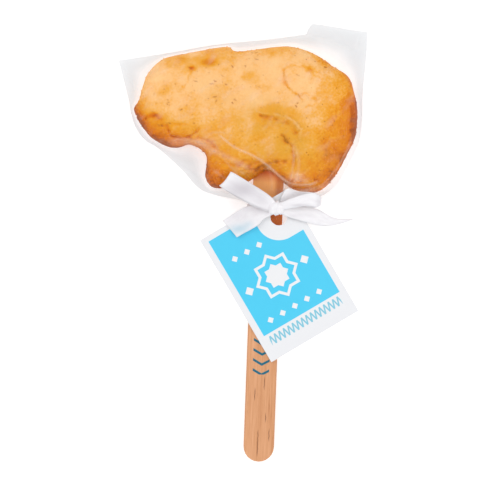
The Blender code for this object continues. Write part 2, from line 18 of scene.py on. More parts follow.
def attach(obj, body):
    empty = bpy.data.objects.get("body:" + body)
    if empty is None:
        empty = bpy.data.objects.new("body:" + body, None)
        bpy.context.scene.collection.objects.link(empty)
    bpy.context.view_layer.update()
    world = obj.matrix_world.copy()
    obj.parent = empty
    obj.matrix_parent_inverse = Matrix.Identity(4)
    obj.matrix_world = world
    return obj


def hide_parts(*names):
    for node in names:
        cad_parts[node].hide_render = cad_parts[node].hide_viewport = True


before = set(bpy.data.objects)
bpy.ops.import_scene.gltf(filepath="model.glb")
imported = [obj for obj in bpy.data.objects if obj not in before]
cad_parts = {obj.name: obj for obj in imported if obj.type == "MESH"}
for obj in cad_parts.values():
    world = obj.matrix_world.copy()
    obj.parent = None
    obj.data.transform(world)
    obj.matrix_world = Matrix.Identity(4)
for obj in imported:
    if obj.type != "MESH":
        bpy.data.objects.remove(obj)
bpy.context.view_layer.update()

MM = 0.001
print("solids:", ", ".join(sorted(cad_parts)))

# %% [markdown]
# ## Lines
# Nearly everything here starts from a line seen from above: the cookie's rim, the film's edge, a
# crease in the crust. A line is given by a few points, in millimetres, and a Catmull-Rom curve
# goes through all of them. A Bezier curve would do as well, but needs handles at each point.


# %% Curves through a few points
def smooth_line(points, closed=False, steps=12):
    """Catmull-Rom curve through the points."""
    pts = np.array(points, float)
    if closed:
        padded = np.vstack([pts[-1:], pts, pts[:2]])
    else:
        padded = np.vstack([2 * pts[0] - pts[1], pts, 2 * pts[-1] - pts[-2]])
    made = []
    for a, b, c, d in zip(padded, padded[1:], padded[2:], padded[3:]):
        for t in np.linspace(0.0, 1.0, steps, endpoint=False):
            bend = 2 * a - 5 * b + 4 * c - d
            cubic = 3 * b - a - 3 * c + d
            made.append(0.5 * (2 * b + (c - a) * t + bend * t * t + cubic * t ** 3))
    made.append(padded[-2])
    return np.array(made)


def even_line(line, spacing):
    """The line cut again in equal steps near the spacing."""
    run = np.r_[0.0, np.cumsum(np.linalg.norm(np.diff(line, axis=0), axis=1))]
    count = max(2, int(round(run[-1] / spacing)))
    at = np.linspace(0.0, run[-1], count + 1)
    return np.column_stack([np.interp(at, run, axis) for axis in line.T])


def line_distance(xy, line):
    """Distance from each point to the nearest place on the line."""
    step = np.diff(line, axis=0)
    rel = xy[:, None] - line[:-1]
    along = np.clip((rel * step).sum(2) / (step ** 2).sum(1), 0.0, 1.0)[..., None]
    return np.sqrt(((rel - along * step) ** 2).sum(2)).min(1)


def ease(t):
    """0 below 0, 1 above 1, and an S-curve between."""
    t = np.clip(t, 0.0, 1.0)
    return t * t * (3 - 2 * t)


# %% [markdown]
# ## Regions
# A region is what one closed line holds. Its depth, the distance in from the line, shapes most
# of this model: a crust rounds off with depth, browns with depth, and film leaves a rim by it.


# %% A region with its depth
class Region:
    """What one closed line holds, with depth counted inwards from the line."""

    def __init__(self, loop):
        self.loop = np.array(loop)
        self.closed = np.vstack([self.loop, self.loop[:1]])

    def depth(self, xy):
        """Positive inside, negative outside, worked out a few thousand points at a time."""
        xy = np.atleast_2d(np.array(xy, float))
        parts = np.array_split(xy, len(xy) // 4000 + 1)
        return np.concatenate([self._depth(part) for part in parts])

    def _depth(self, xy):
        x, y = xy[:, :1], xy[:, 1:]
        step = np.diff(self.closed, axis=0)
        spans = (self.loop[:, 1] > y) != (self.closed[1:, 1] > y)
        rise = np.where(step[:, 1] == 0, 1.0, step[:, 1])
        crossing = self.loop[:, 0] + (y - self.loop[:, 1]) * step[:, 0] / rise
        inside = (spans & (x < crossing)).sum(1) % 2 == 1
        away = line_distance(xy, self.closed)
        return np.where(inside, away, -away)

    def ring(self, inset, spacing):
        """The line moved in by the inset, kept where no other part of it is nearer."""
        dense = even_line(self.closed, spacing)[:-1]
        tangent = np.roll(dense, -1, axis=0) - np.roll(dense, 1, axis=0)
        tangent /= np.linalg.norm(tangent, axis=1)[:, None]
        x, y = self.closed.T
        turn = np.sign((x[:-1] * y[1:] - y[:-1] * x[1:]).sum())
        moved = dense + np.column_stack([-tangent[:, 1], tangent[:, 0]]) * turn * inset
        return moved[np.abs(self.depth(moved) - inset) < 0.04 + 0.05 * inset]

    def grid(self, step, margin):
        """Points in offset rows, no nearer to the line than the margin."""
        low, high = self.loop.min(0), self.loop.max(0)
        rows = np.arange(low[1], high[1], step * 0.866)
        points = np.array([(x + step / 2 * (i % 2), y) for i, y in enumerate(rows)
                           for x in np.arange(low[0], high[0], step)])
        return points[self.depth(points) > margin]


def thin_out(points, spacing):
    """Drops each point that has an earlier one nearer than the spacing."""
    kept, cells = [], {}
    for p in points:
        col, row = math.floor(p[0] / spacing), math.floor(p[1] / spacing)
        near = [cells[col + i, row + j] for i in (-1, 0, 1) for j in (-1, 0, 1)
                if (col + i, row + j) in cells]
        if all((p[0] - q[0]) ** 2 + (p[1] - q[1]) ** 2 > spacing ** 2 for q in near):
            cells[col, row] = p
            kept.append(p)
    return np.array(kept)


# %% [markdown]
# ## From points to a surface
# A crust or a film is a height field: one height for each place seen from above. Scattered
# points joined by a Delaunay triangulation give a mesh that is fine where there are many points
# and coarse where there are few. A plain grid would leave a staircase along a curved rim.


# %% Height fields and finished objects
def bumps(xy, size, seed, octaves=3):
    """Smooth noise with lumps of the size in millimetres, from about -1 to 1."""
    return np.array([noise.fractal(Vector((x / size, y / size, seed)), 1.0, 2.0, octaves)
                     for x, y in xy])


def height_field(bm, loop, inner, height):
    """Makes one surface inside the loop and returns the loop's own vertices, in order."""
    flat = [Vector(p) for p in (*loop, *inner)]
    edges = [(i, (i + 1) % len(loop)) for i in range(len(loop))]
    points, _, faces, source, _, _ = delaunay_2d_cdt(flat, edges, [], 1, 1e-5)
    z = height(np.array([(p.x, p.y) for p in points]))
    made = [bm.verts.new((p.x, p.y, h)) for p, h in zip(points, z)]
    for face in faces:
        bm.faces.new([made[i] for i in face])
    where = {given: made[i] for i, inputs in enumerate(source) for given in inputs}
    return [where[i] for i in range(len(loop))]


def shell(loop, upper_dots, top, lower_dots, bottom):
    """Two height fields with a strip of faces between their rims, and those two rims."""
    bm = bmesh.new()
    upper = height_field(bm, loop, upper_dots, top)
    lower = height_field(bm, loop, lower_dots, bottom)
    for i in range(len(loop)):
        j = (i + 1) % len(loop)
        bm.faces.new((upper[i], upper[j], lower[j], lower[i]))
    return bm, upper, lower


def put(name, data, place=(0.0, 0.0, 0.0)):
    """A new object in the scene."""
    piece = bpy.data.objects.new(name, data)
    piece.location = place
    bpy.context.scene.collection.objects.link(piece)
    return piece


def finished(name, bm, material, smooth=True):
    """Scales a mesh made in millimetres to metres and puts it in the scene, at the origin."""
    bmesh.ops.scale(bm, vec=(MM, MM, MM), verts=bm.verts)
    mesh = bpy.data.meshes.new(name)
    bm.to_mesh(mesh)
    bm.free()
    mesh.polygons.foreach_set("use_smooth", [smooth] * len(mesh.polygons))
    mesh.materials.append(material)
    return put(name, mesh)


def frozen(piece):
    """The piece with its modifiers made permanent."""
    graph = bpy.context.evaluated_depsgraph_get()
    mesh = bpy.data.meshes.new_from_object(piece.evaluated_get(graph))
    mesh.name = piece.name
    piece.modifiers.clear()
    piece.data = mesh
    return piece


def thicken(piece, thickness):
    """Gives a sheet its thickness, half of it to each side."""
    wall = piece.modifiers.new("wall", "SOLIDIFY")
    wall.thickness = thickness * MM
    wall.offset = 0.0
    return frozen(piece)


def keep_number(piece, name, values, most=1.0):
    """Stores a number from 0 to the most at each vertex, for a material or node tree to read."""
    kept = np.clip(values, 0.0, most).astype(np.float32)
    piece.data.attributes.new(name, "FLOAT", "POINT").data.foreach_set("value", kept)


# %% [markdown]
# ## Finishes from sums
# Each finish is a small network of nodes. Patterns such as a printed star or the grain of wood
# are sums on the place of a point, so a tiny class lets those sums be written as sums. Every
# operation on it adds one Math node to the material.


# %% Numbers that turn into nodes
class Number:
    """A number that varies over a surface, made by shader nodes."""

    def __init__(self, tree, socket):
        self.tree = tree
        self.socket = socket

    def math(self, operation, *others):
        made = self.tree.nodes.new("ShaderNodeMath")
        made.operation = operation
        for slot, value in zip(made.inputs, (self, *others)):
            plug(self.tree, slot, value)
        return Number(self.tree, made.outputs[0])

    __add__ = partialmethod(math, "ADD")
    __sub__ = partialmethod(math, "SUBTRACT")
    __mul__ = partialmethod(math, "MULTIPLY")
    __abs__ = partialmethod(math, "ABSOLUTE")
    least = partialmethod(math, "MINIMUM")
    most = partialmethod(math, "MAXIMUM")

    def __rsub__(self, other):
        return self * -1.0 + other

    def below(self, edge, blur, under=1.0, over=0.0):
        """1 where the number is under the edge, 0 over it, with a soft step as wide as the blur."""
        made = add_node(self.tree, "ShaderNodeMapRange", Value=self, From_Min=edge - blur / 2,
                        From_Max=edge + blur / 2, To_Min=under, To_Max=over)
        return Number(self.tree, made.outputs["Result"])

    def above(self, edge, blur):
        return self.below(edge, blur, 0.0, 1.0)

    def between(self, start, end, blur):
        return abs(self - (start + end) / 2).below((end - start) / 2, blur)


def plug(tree, slot, value):
    """Links a number, a socket or a node's first output, or sets a plain value."""
    if isinstance(value, Number):
        value = value.socket
    if isinstance(value, bpy.types.Node):
        value = value.outputs[0]
    if isinstance(value, bpy.types.NodeSocket):
        tree.links.new(value, slot)
    else:
        slot.default_value = value


def add_node(tree, kind, settings=(), **sockets):
    """A node with its settings and sockets. An underscore in a name stands for a space."""
    made = tree.nodes.new(kind)
    for name, value in dict(settings).items():
        setattr(made, name, value)
    for name, value in sockets.items():
        plug(tree, made.inputs[name.replace("_", " ")], value)
    return made


# %% Colours, patterns and relief
def linear(*rgb):
    """A colour as seen on a screen, 0 to 255, in the linear light that shaders use."""
    return (*[c / 255 / 12.92 if c < 11 else ((c / 255 + 0.055) / 1.055) ** 2.4 for c in rgb], 1.0)


def new_finish(name, roughness, specular=0.5):
    """An empty material: its node tree and its main shader."""
    material = bpy.data.materials.new(name)
    material.use_nodes = True
    tree = material.node_tree
    shader = tree.nodes["Principled BSDF"]
    shader.inputs["Roughness"].default_value = roughness
    shader.inputs["Specular IOR Level"].default_value = specular
    return material, tree, shader


def surface_number(tree, name):
    """A number that the mesh keeps at its vertices."""
    made = add_node(tree, "ShaderNodeAttribute", {"attribute_name": name})
    return Number(tree, made.outputs["Fac"])


def object_place(tree):
    return add_node(tree, "ShaderNodeTexCoord").outputs["Object"]


def axes(tree, vector):
    """The X and the Y of a place, as numbers."""
    split = add_node(tree, "ShaderNodeSeparateXYZ", Vector=vector)
    return Number(tree, split.outputs["X"]), Number(tree, split.outputs["Y"])


def grain(tree, place, scale, detail=3.0, stretch=(1.0, 1.0, 1.0)):
    """Noise of about the given number of lumps a metre, 0 to 1."""
    turned = add_node(tree, "ShaderNodeMapping", Vector=place, Scale=stretch)
    made = add_node(tree, "ShaderNodeTexNoise", Vector=turned, Scale=scale, Detail=detail)
    return Number(tree, made.outputs["Fac"])


def specks(tree, place, scale, size):
    """1 in small round specks, about so many a metre, and 0 between them."""
    made = add_node(tree, "ShaderNodeTexVoronoi", Vector=place, Scale=scale)
    return Number(tree, made.outputs["Distance"]).below(size, 0.10)


def layered(tree, colour, *layers):
    """Colours laid over one another, each with its share from 0 to 1."""
    for share, over in layers:
        made = add_node(tree, "ShaderNodeMix", {"data_type": "RGBA"})
        for slot, value in zip((made.inputs[0], made.inputs[6], made.inputs[7]),
                               (share, colour, over)):
            plug(tree, slot, value)
        colour = made.outputs[2]
    return colour


def tone_scale(tree, share, stops):
    """A run of colours, each at its place from 0 to 1."""
    made = add_node(tree, "ShaderNodeValToRGB", Fac=share)
    ramp = made.color_ramp
    while len(ramp.elements) < len(stops):
        ramp.elements.new(0.5)
    for element, (place, *rgb) in zip(ramp.elements, stops):
        element.position = place
        element.color = linear(*rgb)
    return made.outputs["Color"]


def paint(tree, shader, colour, height=None, depth=0.0):
    """Sets the colour, and fine relief in the shading, as deep as the depth in metres."""
    plug(tree, shader.inputs["Base Color"], colour)
    if height:
        relief = add_node(tree, "ShaderNodeBump", Height=height, Distance=depth)
        plug(tree, shader.inputs["Normal"], relief)


# %% [markdown]
# ## The camera
# The object can't stand up by itself, so it lies on its back and the camera looks straight down
# on it. A long lens from most of a metre away keeps the proportions true, as in a shop's picture.

# %% Camera
FRAME_WIDTH = 163.9
VIEW_CENTRE = (2.28, -2.44)
CAMERA_HEIGHT = 905.0
LENS_TO_CENTRE = 900.0
SENSOR = 36.0

camera_data = bpy.data.cameras.new("camera")
camera_data.sensor_width = SENSOR
camera_data.lens = SENSOR * LENS_TO_CENTRE / FRAME_WIDTH
camera_data.clip_start = 0.01
camera = put("camera", camera_data, Vector((*VIEW_CENTRE, CAMERA_HEIGHT)) * MM)
bpy.context.scene.camera = camera
print(f"lens {camera_data.lens:.0f} mm")

# %% [markdown]
# ## The crust's finish
# A pale dough browns from the rim inwards, because heat reaches the edge first, and egg and
# butter leave yellower pools in its hollows. Painted shade is laid into the same colours: the crust
# is painted darker towards the right and the bottom, browner in its creases, yellower and darker
# in its hollows, and darker in its pores by their depth. The mesh carries four numbers for this:
# how far it has browned, with that painted shade in it, how buttery and shaded it is, how grainy
# it is, and how deep a pore is. Painting them in by hand would work too, but numbers worked out
# from the shape stay right when the shape changes.

# %% Crust material
crust, tree, shader = new_finish("baked_crust", 0.62, 0.2)
place = object_place(tree)
grainy = surface_number(tree, "grainy")
blotch = grain(tree, place, 170.0, 5.0)
speckle = grain(tree, place, 1300.0, 4.0)
flake = grain(tree, place, 360.0, 3.0).math("SMOOTH_MAX", 0.47, 0.05)
# The browning number holds painted shade too: because of it the crust is darker to the right, to
# the bottom and in its creases.
browning = surface_number(tree, "browning") + (blotch - 0.5) * (grainy * 0.35 + 0.50)
browning = browning + (flake - 0.5) * 0.2 + (speckle - 0.5) * (grainy * 0.42 + 0.16)
baked = tone_scale(tree, browning, [
    (0.00, 253, 204, 140), (0.18, 252, 194, 126), (0.30, 245, 176, 80), (0.45, 240, 160, 36),
    (0.60, 230, 138, 8), (0.76, 220, 118, 2), (0.90, 196, 94, 2), (1.00, 160, 72, 6)])
freckle = specks(tree, place, 380.0, 0.07) * (grainy * 0.7 + 0.3)
fleck = specks(tree, place, 830.0, 0.13) * grainy * 0.25
# Yellower patches are partly butter and partly painted shade in the hollows. The pore number paints
# each pore darker by its depth, as painted shade, and marks the charred tip.
colour = layered(tree, baked,
                 (surface_number(tree, "butter"), linear(227, 165, 54)),
                 (freckle, linear(176, 92, 14)),
                 (fleck, linear(250, 196, 92)),
                 (surface_number(tree, "pore"), linear(178, 98, 36)))
paint(tree, shader, colour, speckle * 0.7 + grain(tree, place, 5200.0, 2.0) * 0.3, 0.00022)
print("crust finish:", len(tree.nodes), "nodes")

# %% [markdown]
# ## The crust's shape
# The dough was cut by hand to a loose animal shape and puffed up as it baked. Its top is nearly
# flat and rounds off over the last few millimetres. Then come the marks: long creases where the
# dough folded, round dents where bubbles sank, slow lumps, and small pores where steam got out.

# %% The cookie's rim and marks
COOKIE_BASE = 0.6
COOKIE_TOP = 9.6
RIM_LOW = 2.4
RIM_HIGH = 3.6
SHOULDER = 7.5
UNDERCUT = 2.5
COOKIE_OUTLINE = [
    (-35.6, 44.1), (-34.1, 47), (-33.1, 50.7), (-31.6, 54.8), (-29, 58.2), (-25.6, 60.5),
    (-20.2, 61.8), (-12.3, 63.3), (-7, 64.2), (-4.4, 64.1), (-2.5, 62.8), (2.3, 63.1), (8.8, 64),
    (14.7, 64.4), (20.3, 63.2), (25.2, 60.9), (29.6, 57.8), (33.8, 55.2), (35.6, 52.5), (36.5, 49),
    (37.4, 44.8), (37.5, 40.2), (36.7, 34.3), (34.5, 29.6), (32.3, 25.2), (29.3, 20.6),
    (25.9, 17.4), (22, 16.2), (17.7, 17.1), (15, 18.3), (13, 20), (11.2, 21.7), (9.2, 23.2),
    (7.6, 23.7), (5.8, 22.6), (3.2, 20.9), (1, 19.6), (-1.7, 18.5), (-4.9, 18.5), (-7.9, 17.8),
    (-10.8, 18.7), (-12.4, 21.8), (-12, 25.8), (-12.2, 28.7), (-14.4, 30.9), (-17.6, 32.2),
    (-20.7, 31.3), (-24, 31.3), (-28.1, 33.1), (-31.1, 35.4), (-33.5, 38.8), (-35, 41.8),
]
# Each crease: points along it, half width, depth.
CREASES = [
    ([(13.2, 56.4), (13.5, 53), (15.3, 50.2), (17.8, 48.2), (19, 46.6)], 0.36, 0.62),
    ([(13.8, 56.8), (16, 57.9), (19.2, 57.4), (22, 56.6), (22.9, 54.4), (21.9, 52.4)], 0.42, 0.3),
    ([(21.8, 52.4), (20.4, 51), (18.8, 50.4)], 0.6, 0.22),
    ([(18.2, 47.6), (20.6, 48.8), (22, 47.2), (23.8, 46.9), (23.2, 45.1),
      (20.4, 44.3)], 0.36, 0.45),
    ([(-31.5, 41), (-28.9, 41.6), (-26.6, 40.2)], 0.7, 0.55),
    ([(-26.6, 38.4), (-22.6, 38.8), (-18.4, 38.4)], 0.35, 0.45),
    ([(-24.7, 38), (-23.6, 35.3), (-20, 34.2), (-16.2, 35.5), (-14.4, 37.4)], 0.4, 0.75),
    ([(16.1, 30.6), (16.7, 27.8), (16.6, 25)], 0.6, 0.65),
    ([(-6.4, 26.2), (-1.4, 25.2), (0.6, 26.6), (3.1, 25.6), (5.6, 26.6)], 0.65, 0.6),
    ([(1, 23.8), (4.3, 24), (6.5, 25.2), (8.4, 25.6)], 0.45, 0.75),
    ([(4.6, 42.9), (9.1, 41.9), (14, 41), (17.2, 38.9), (18.6, 36.4), (18.6, 34)], 0.6, -0.75),
    ([(5.4, 41.6), (9.1, 40.6), (13.4, 39.6), (16, 37.7), (17.2, 35.8)], 0.45, 0.75),
    ([(12.8, 35), (14.3, 33.3), (15.9, 31.6)], 0.42, 1.2),
    ([(17.4, 32.6), (17.6, 29.4), (17.4, 26.6)], 0.5, -0.5),
    ([(-16.6, 57), (-17.7, 54), (-18.6, 51.8), (-20.2, 50.1), (-23, 48.4)], 0.4, 0.26),
    ([(-14.6, 34.4), (-10.7, 32.8), (-8, 29.8), (-5, 27.6)], 0.45, 0.5),
    ([(21, 62), (27, 58.4), (31.6, 54.6)], 1, 0.3),
    ([(24.6, 36.4), (26.8, 33), (27.4, 29)], 1.2, 0.3),
]
# Each dent: its middle, half widths and depth. Every patch below is given the same way.
DENTS = [
    (9.9, 41.3, 7.5, 3.7, 0.8), (15.6, 34.6, 3.4, 3, 0.5), (10.8, 26.4, 1.2, 0.5, 0.5),
    (13.5, 26.5, 0.9, 0.6, 0.6), (-27.5, 50.5, 3.2, 2.4, 0.4), (27, 29.5, 4, 2.6, 0.35),
    (-10.8, 59, 2.6, 1.4, 0.45), (-16.4, 56.6, 1.3, 0.8, 0.45), (1.5, 54.4, 2.4, 1.6, 0.3),
    (18.4, 21.8, 2.6, 1.6, 0.2), (-29.2, 41.6, 1.6, 0.9, 0.5), (1.9, 25, 1, 0.6, 0.45),
    (7.2, 25.3, 1.3, 0.5, 0.4),
]


def quarter_round(depth, reach):
    return np.sqrt(1.0 - (1.0 - np.clip(depth / reach, 0.0, 1.0)) ** 2)


def dome(depth):
    """Smooth top of the cookie, before any marks."""
    return RIM_HIGH + (COOKIE_TOP - RIM_HIGH) * quarter_round(depth, SHOULDER)


def underside(depth, reach):
    return RIM_LOW - (RIM_LOW - COOKIE_BASE) * quarter_round(depth, reach)


def patches(xy, given, sharpness=1):
    """Sum of soft round patches."""
    total = np.zeros(len(xy))
    for x, y, wide, high, strength in given:
        r2 = ((xy[:, 0] - x) / wide) ** 2 + ((xy[:, 1] - y) / high) ** 2
        total += strength * np.exp(-r2 ** sharpness)
    return total


def marks(xy):
    """How far creases and dents go down from the dome. Noise keeps the creases from being neat."""
    deep = patches(xy, DENTS, 2)
    strength = (0.85 + 0.9 * bumps(xy, 2.6, 13.0)).clip(0.15, 1.5)
    shaken = xy + 0.5 * np.column_stack([bumps(xy, 1.7, 14.0), bumps(xy, 1.7, 15.0)])
    for points, width, depth in CREASES:
        near = line_distance(shaken, smooth_line(points)) / width
        deep += strength * depth * np.exp(-near ** 2)
    return deep


# %% [markdown]
# ## Where it browned, and where shade is painted
# The rim browns first, and most at the end of the muzzle, which sat nearest to the heat. The crust
# is also painted darker towards the right and along the bottom: that is painted shade, as the
# light comes from the upper left, laid in with the browning. Each browner or paler place is a soft
# round patch added to the rim's own browning, so they blend as real ones do. The yellower zones,
# partly butter and partly painted shade in the hollows, are laid the same way.

# %% Browning, butter and painted shade
BROWN_PATCHES = [
    (38.5, 38, 5.5, 16, 0.44), (21, 14.8, 10, 2.2, 0.12), (5.5, 22.8, 6, 2.2, 0.03),
    (4.3, 23.4, 2.4, 1.2, 0.1), (6.6, 24.6, 1.6, 0.9, 0.08), (0.6, 20.2, 3, 1.2, 0.04),
    (14.2, 20.4, 2, 1.3, 0.16), (-9.4, 20, 6, 7, 0.38), (-13, 26, 2.6, 5, 0.08),
    (-25, 32.6, 10, 4.6, 0.34), (-30, 37.6, 6, 5, 0.24), (-35.6, 40.2, 3, 5.2, 0.62),
    (-33.5, 34.5, 4, 4, 0.14), (-11.9, 58.6, 2.8, 1.1, 0.24), (-16.6, 57.1, 1, 0.7, 0.42),
    (21.6, 56.5, 1.8, 0.9, 0.34), (-28.9, 41.4, 1.8, 0.9, 0.14), (14.3, 33.4, 1.4, 1.1, 0.3),
    (10.8, 26.4, 1.4, 0.6, 0.3), (13.5, 26.5, 0.9, 0.6, 0.36), (16.4, 26.6, 0.8, 2.4, 0.14),
    (-9, 62.2, 7, 2.8, 0.2), (-20, 60.2, 7, 2.4, 0.16), (13.4, 53.6, 1.4, 3, 0.1),
    (8.6, 41.2, 2.2, 0.7, 0.12), (8.6, 62.6, 12, 2.4, 0.12), (-20, 44, 11, 9, 0.09),
    (-6, 38, 7, 7, 0.1), (-12, 58, 7, 3, 0.12), (29, 55, 8, 7, -0.16), (12, 50, 8, 5, 0.06),
    (12, 26, 7, 6.5, 0.15), (31, 33, 4, 7, 0.1), (28, 22, 4, 4, 0.08), (35.6, 40.5, 0.9, 3.2, 0.16),
    (23.9, 20.4, 1.5, 1.3, 0.22), (28.4, 23.4, 1.8, 1.5, 0.12), (0.2, 22.8, 2.4, 1.5, -0.34),
    (23, 61.8, 3.5, 2, -0.12), (-16.2, 61.8, 3.2, 1.4, -0.14), (18, 22.6, 2.6, 1.5, -0.24),
    (13.4, 21.6, 0.8, 0.7, 0.26), (15.8, 20.2, 1.6, 0.6, 0.22), (4.6, 23.6, 1.4, 0.5, 0.2),
    (1.8, 25, 0.9, 0.6, 0.22), (7.4, 25.2, 1.2, 0.5, 0.16),
]
BUTTER_AND_SHADE_PATCHES = [
    (9.5, 41.3, 11, 5.2, 0.6), (15.5, 34.4, 4, 4.4, 0.42), (4, 31, 19, 8, 0.46),
    (18, 28, 12, 8, 0.4), (-10.8, 58.8, 3.2, 1.8, 0.3), (-7.5, 48, 6, 3.6, 0.26),
    (2.5, 55, 3.2, 2.4, 0.2), (-22, 39, 9, 3.6, 0.22),
]
print("patches:", len(BROWN_PATCHES), "browner,", len(BUTTER_AND_SHADE_PATCHES), "buttery")

# %% Pores
PORES = 110
rng = np.random.default_rng(11)
pore_list = []
while len(pore_list) < PORES:
    x, y = rng.uniform((-34.0, 18.0), (36.0, 63.0))
    likely = 0.25 + 0.75 * math.exp(-((x + 18.0) / 16.0) ** 2 - ((y - 48.0) / 12.0) ** 2)
    if rng.random() < likely:
        turn = rng.normal(-0.25, 0.55)
        long = 0.16 + 0.7 * rng.random() ** 2.2
        wide, deep = rng.uniform(0.08, 0.14), 0.05 + 0.20 * rng.random() ** 1.6
        pore_list.append((x, y, turn, long, wide, deep))


def pore_depth(xy):
    """Depth of the small steam pores, each a short dash."""
    deep = np.zeros(len(xy))
    for x, y, turn, long, wide, depth in pore_list:
        near = np.abs(xy - (x, y)).max(1) < 2.0
        rel = xy[near] - (x, y)
        along = rel @ (math.cos(turn), math.sin(turn))
        across = rel @ (-math.sin(turn), math.cos(turn))
        dash = depth * np.exp(-(along / long) ** 4 - (across / wide) ** 2)
        deep[near] = np.maximum(deep[near], dash)
    return deep


def pore_points():
    """Mesh points in and round each pore, so that a dash has a crisp floor and edge."""
    made = []
    for x, y, turn, long, wide, _ in pore_list:
        ahead = np.array((math.cos(turn), math.sin(turn)))
        side = np.array((-ahead[1], ahead[0])) * wide * 1.3
        for t in np.arange(-long, long + 0.01, 0.22):
            spot = np.array((x, y)) + ahead * t
            made += [spot, spot + side, spot - side]
    return np.array(made)


print("pores:", len(pore_list), "and", len(pore_points()), "mesh points for them")

# %% The cookie's mesh
COOKIE_MIDDLE = (2.0, 41.0)
ROUGH_TIP = (-35.0, 40.0, 3.0, 6.0, 3.6)
TOP_LUMPS = [(0.22, 7.0, 5.0), (0.16, 2.4, 6.0), (0.09, 0.8, 7.0)]
rim = smooth_line(COOKIE_OUTLINE, closed=True)
smooth_rim = even_line(rim, 0.45)[:-1]
plain_cookie = Region(even_line(rim, 1.7)[:-1])
rim_out = smooth_rim - COOKIE_MIDDLE
rim_out /= np.linalg.norm(rim_out, axis=1)[:, None]
rough = 0.11 * (1.0 + patches(smooth_rim, [ROUGH_TIP])) * bumps(smooth_rim, 1.3, 3.0)
cookie_region = Region(smooth_rim + rim_out * rough[:, None])


def crust_top(xy):
    depth = cookie_region.depth(xy)
    lumps = sum(height * bumps(xy, size, seed) for height, size, seed in TOP_LUMPS)
    sunk = (marks(xy) + 0.26 - lumps) * ease(depth / UNDERCUT) + pore_depth(xy) * ease(depth)
    return dome(depth) - sunk


def crust_bottom(xy):
    depth = cookie_region.depth(xy)
    return underside(depth, UNDERCUT) + (0.08 + 0.08 * bumps(xy, 1.6, 9.0)) * ease(depth / 1.5)


def dots_in(region, insets, spacing, cell, margin, least, nearest, extra=()):
    """Points inside a region: rings close to its line, a grid further in, and any extra ones."""
    rings = [region.ring(inset, spacing) for inset in insets]
    dots = thin_out(np.vstack([*extra, *rings, region.grid(cell, margin)]), least)
    return dots[region.depth(dots) > nearest]


upper_dots = dots_in(cookie_region, (0.07, 0.2, 0.4, 0.7, 1.1, 1.5), 0.45, 0.42, 1.7, 0.14, 0.04,
                     [pore_points()])
lower_dots = dots_in(cookie_region, (0.1, 0.35, 0.8, 1.4), 0.6, 0.9, 2.0, 0.3, 0.05)
bm, *_ = shell(cookie_region.loop, upper_dots, crust_top, lower_dots, crust_bottom)
bmesh.ops.recalc_face_normals(bm, faces=bm.faces)
places = np.array([v.co for v in bm.verts])
cookie = finished("cookie_crust", bm, crust)
print(f"cookie: {len(cookie.data.polygons)} faces")

# %% How the crust baked at each vertex, with its painted shade
xy = places[:, :2]
x, y = xy.T
depth = cookie_region.depth(xy)
is_top = places[:, 2] > (RIM_LOW + RIM_HIGH) / 2
# Painted shade: these two make the crust darker towards the bottom and towards the right, as the
# light comes from the upper left, and make the rim's browning stronger there.
low_painted_shade = 0.27 * ease((47.0 - y) / 19.0)
fall = low_painted_shade + 0.24 * ease((x - 15.0) / 17.0) * (1.0 - 1.6 * low_painted_shade)
rim_heat = 0.30 * np.exp(-depth) + 0.10 * np.exp(-depth / 4.0)
brown_and_shade = 0.12 + fall + rim_heat * (0.35 + 2.2 * fall).clip(0.0, 1.0)
# The marks term paints creases and dents browner and raised ridges paler: painted shade and painted
# highlight in the relief.
brown_and_shade += patches(xy, BROWN_PATCHES) + (0.38 - 0.25 * fall) * marks(xy) + 0.06 * bumps(xy, 9.0, 21.0)
side_brown_and_shade = np.maximum(brown_and_shade, 0.5) + 0.05 * bumps(xy, 2.0, 22.0)
# Yellower where butter pooled, and a darker yellow in the hollows as painted shade.
butter = patches(xy, BUTTER_AND_SHADE_PATCHES) * (0.8 + 0.5 * bumps(xy, 3.5, 23.0))
tip = patches(xy, [(-36.0, 41.0, 2.2, 5.0, 1.0)])
charred = tip * (0.75 + 0.9 * bumps(xy, 1.2, 24.0))
torn = patches(xy, [(4.6, 22.4, 4.6, 1.7, 0.9)])
keep_number(cookie, "browning", np.where(is_top, brown_and_shade, side_brown_and_shade))
keep_number(cookie, "butter", butter * is_top, 0.75)
# This number paints each steam pore darker by its depth, as painted shade; at the tip it is
# charring.
keep_number(cookie, "pore", np.maximum(pore_depth(xy) / 0.22, charred) * is_top, 0.9)
keep_number(cookie, "grainy", (0.15 + 3.0 * fall) * is_top)
keep_number(cookie, "crumbly", (tip + torn + 0.16 * np.exp(-np.abs(depth - 1.2))) * is_top)
print(f"browning: {brown_and_shade.min():.2f} to {brown_and_shade.max():.2f}")

# %% [markdown]
# ## Crumbs
# Loose crumbs stick to a baked rim, most of all at the dark tip. They repeat, so Geometry Nodes
# scatter them: points fall on the crust by a number stored on it, each gets a tiny stone of its
# own turn and size, and the stones become plain mesh. Placing them one by one would take hours.


# %% A node tree that scatters crumbs
def new_tree(name, inputs):
    """A Geometry Nodes tree with one geometry in and out, and named inputs."""
    tree = bpy.data.node_groups.new(name, "GeometryNodeTree")
    for label, kind in [("Geometry", "NodeSocketGeometry"), *inputs]:
        tree.interface.new_socket(label, in_out="INPUT", socket_type=kind)
    tree.interface.new_socket("Geometry", in_out="OUTPUT", socket_type="NodeSocketGeometry")
    return tree, tree.nodes.new("NodeGroupInput").outputs, tree.nodes.new("NodeGroupOutput").inputs


def run_tree(piece, tree, **values):
    """Runs the tree on the piece with the given inputs and keeps the plain mesh."""
    modifier = piece.modifiers.new(tree.name, "NODES")
    modifier.node_group = tree
    for item in tree.interface.items_tree:
        if item.in_out == "INPUT" and item.name.replace(" ", "_") in values:
            modifier[item.identifier] = values[item.name.replace(" ", "_")]
    return frozen(piece)


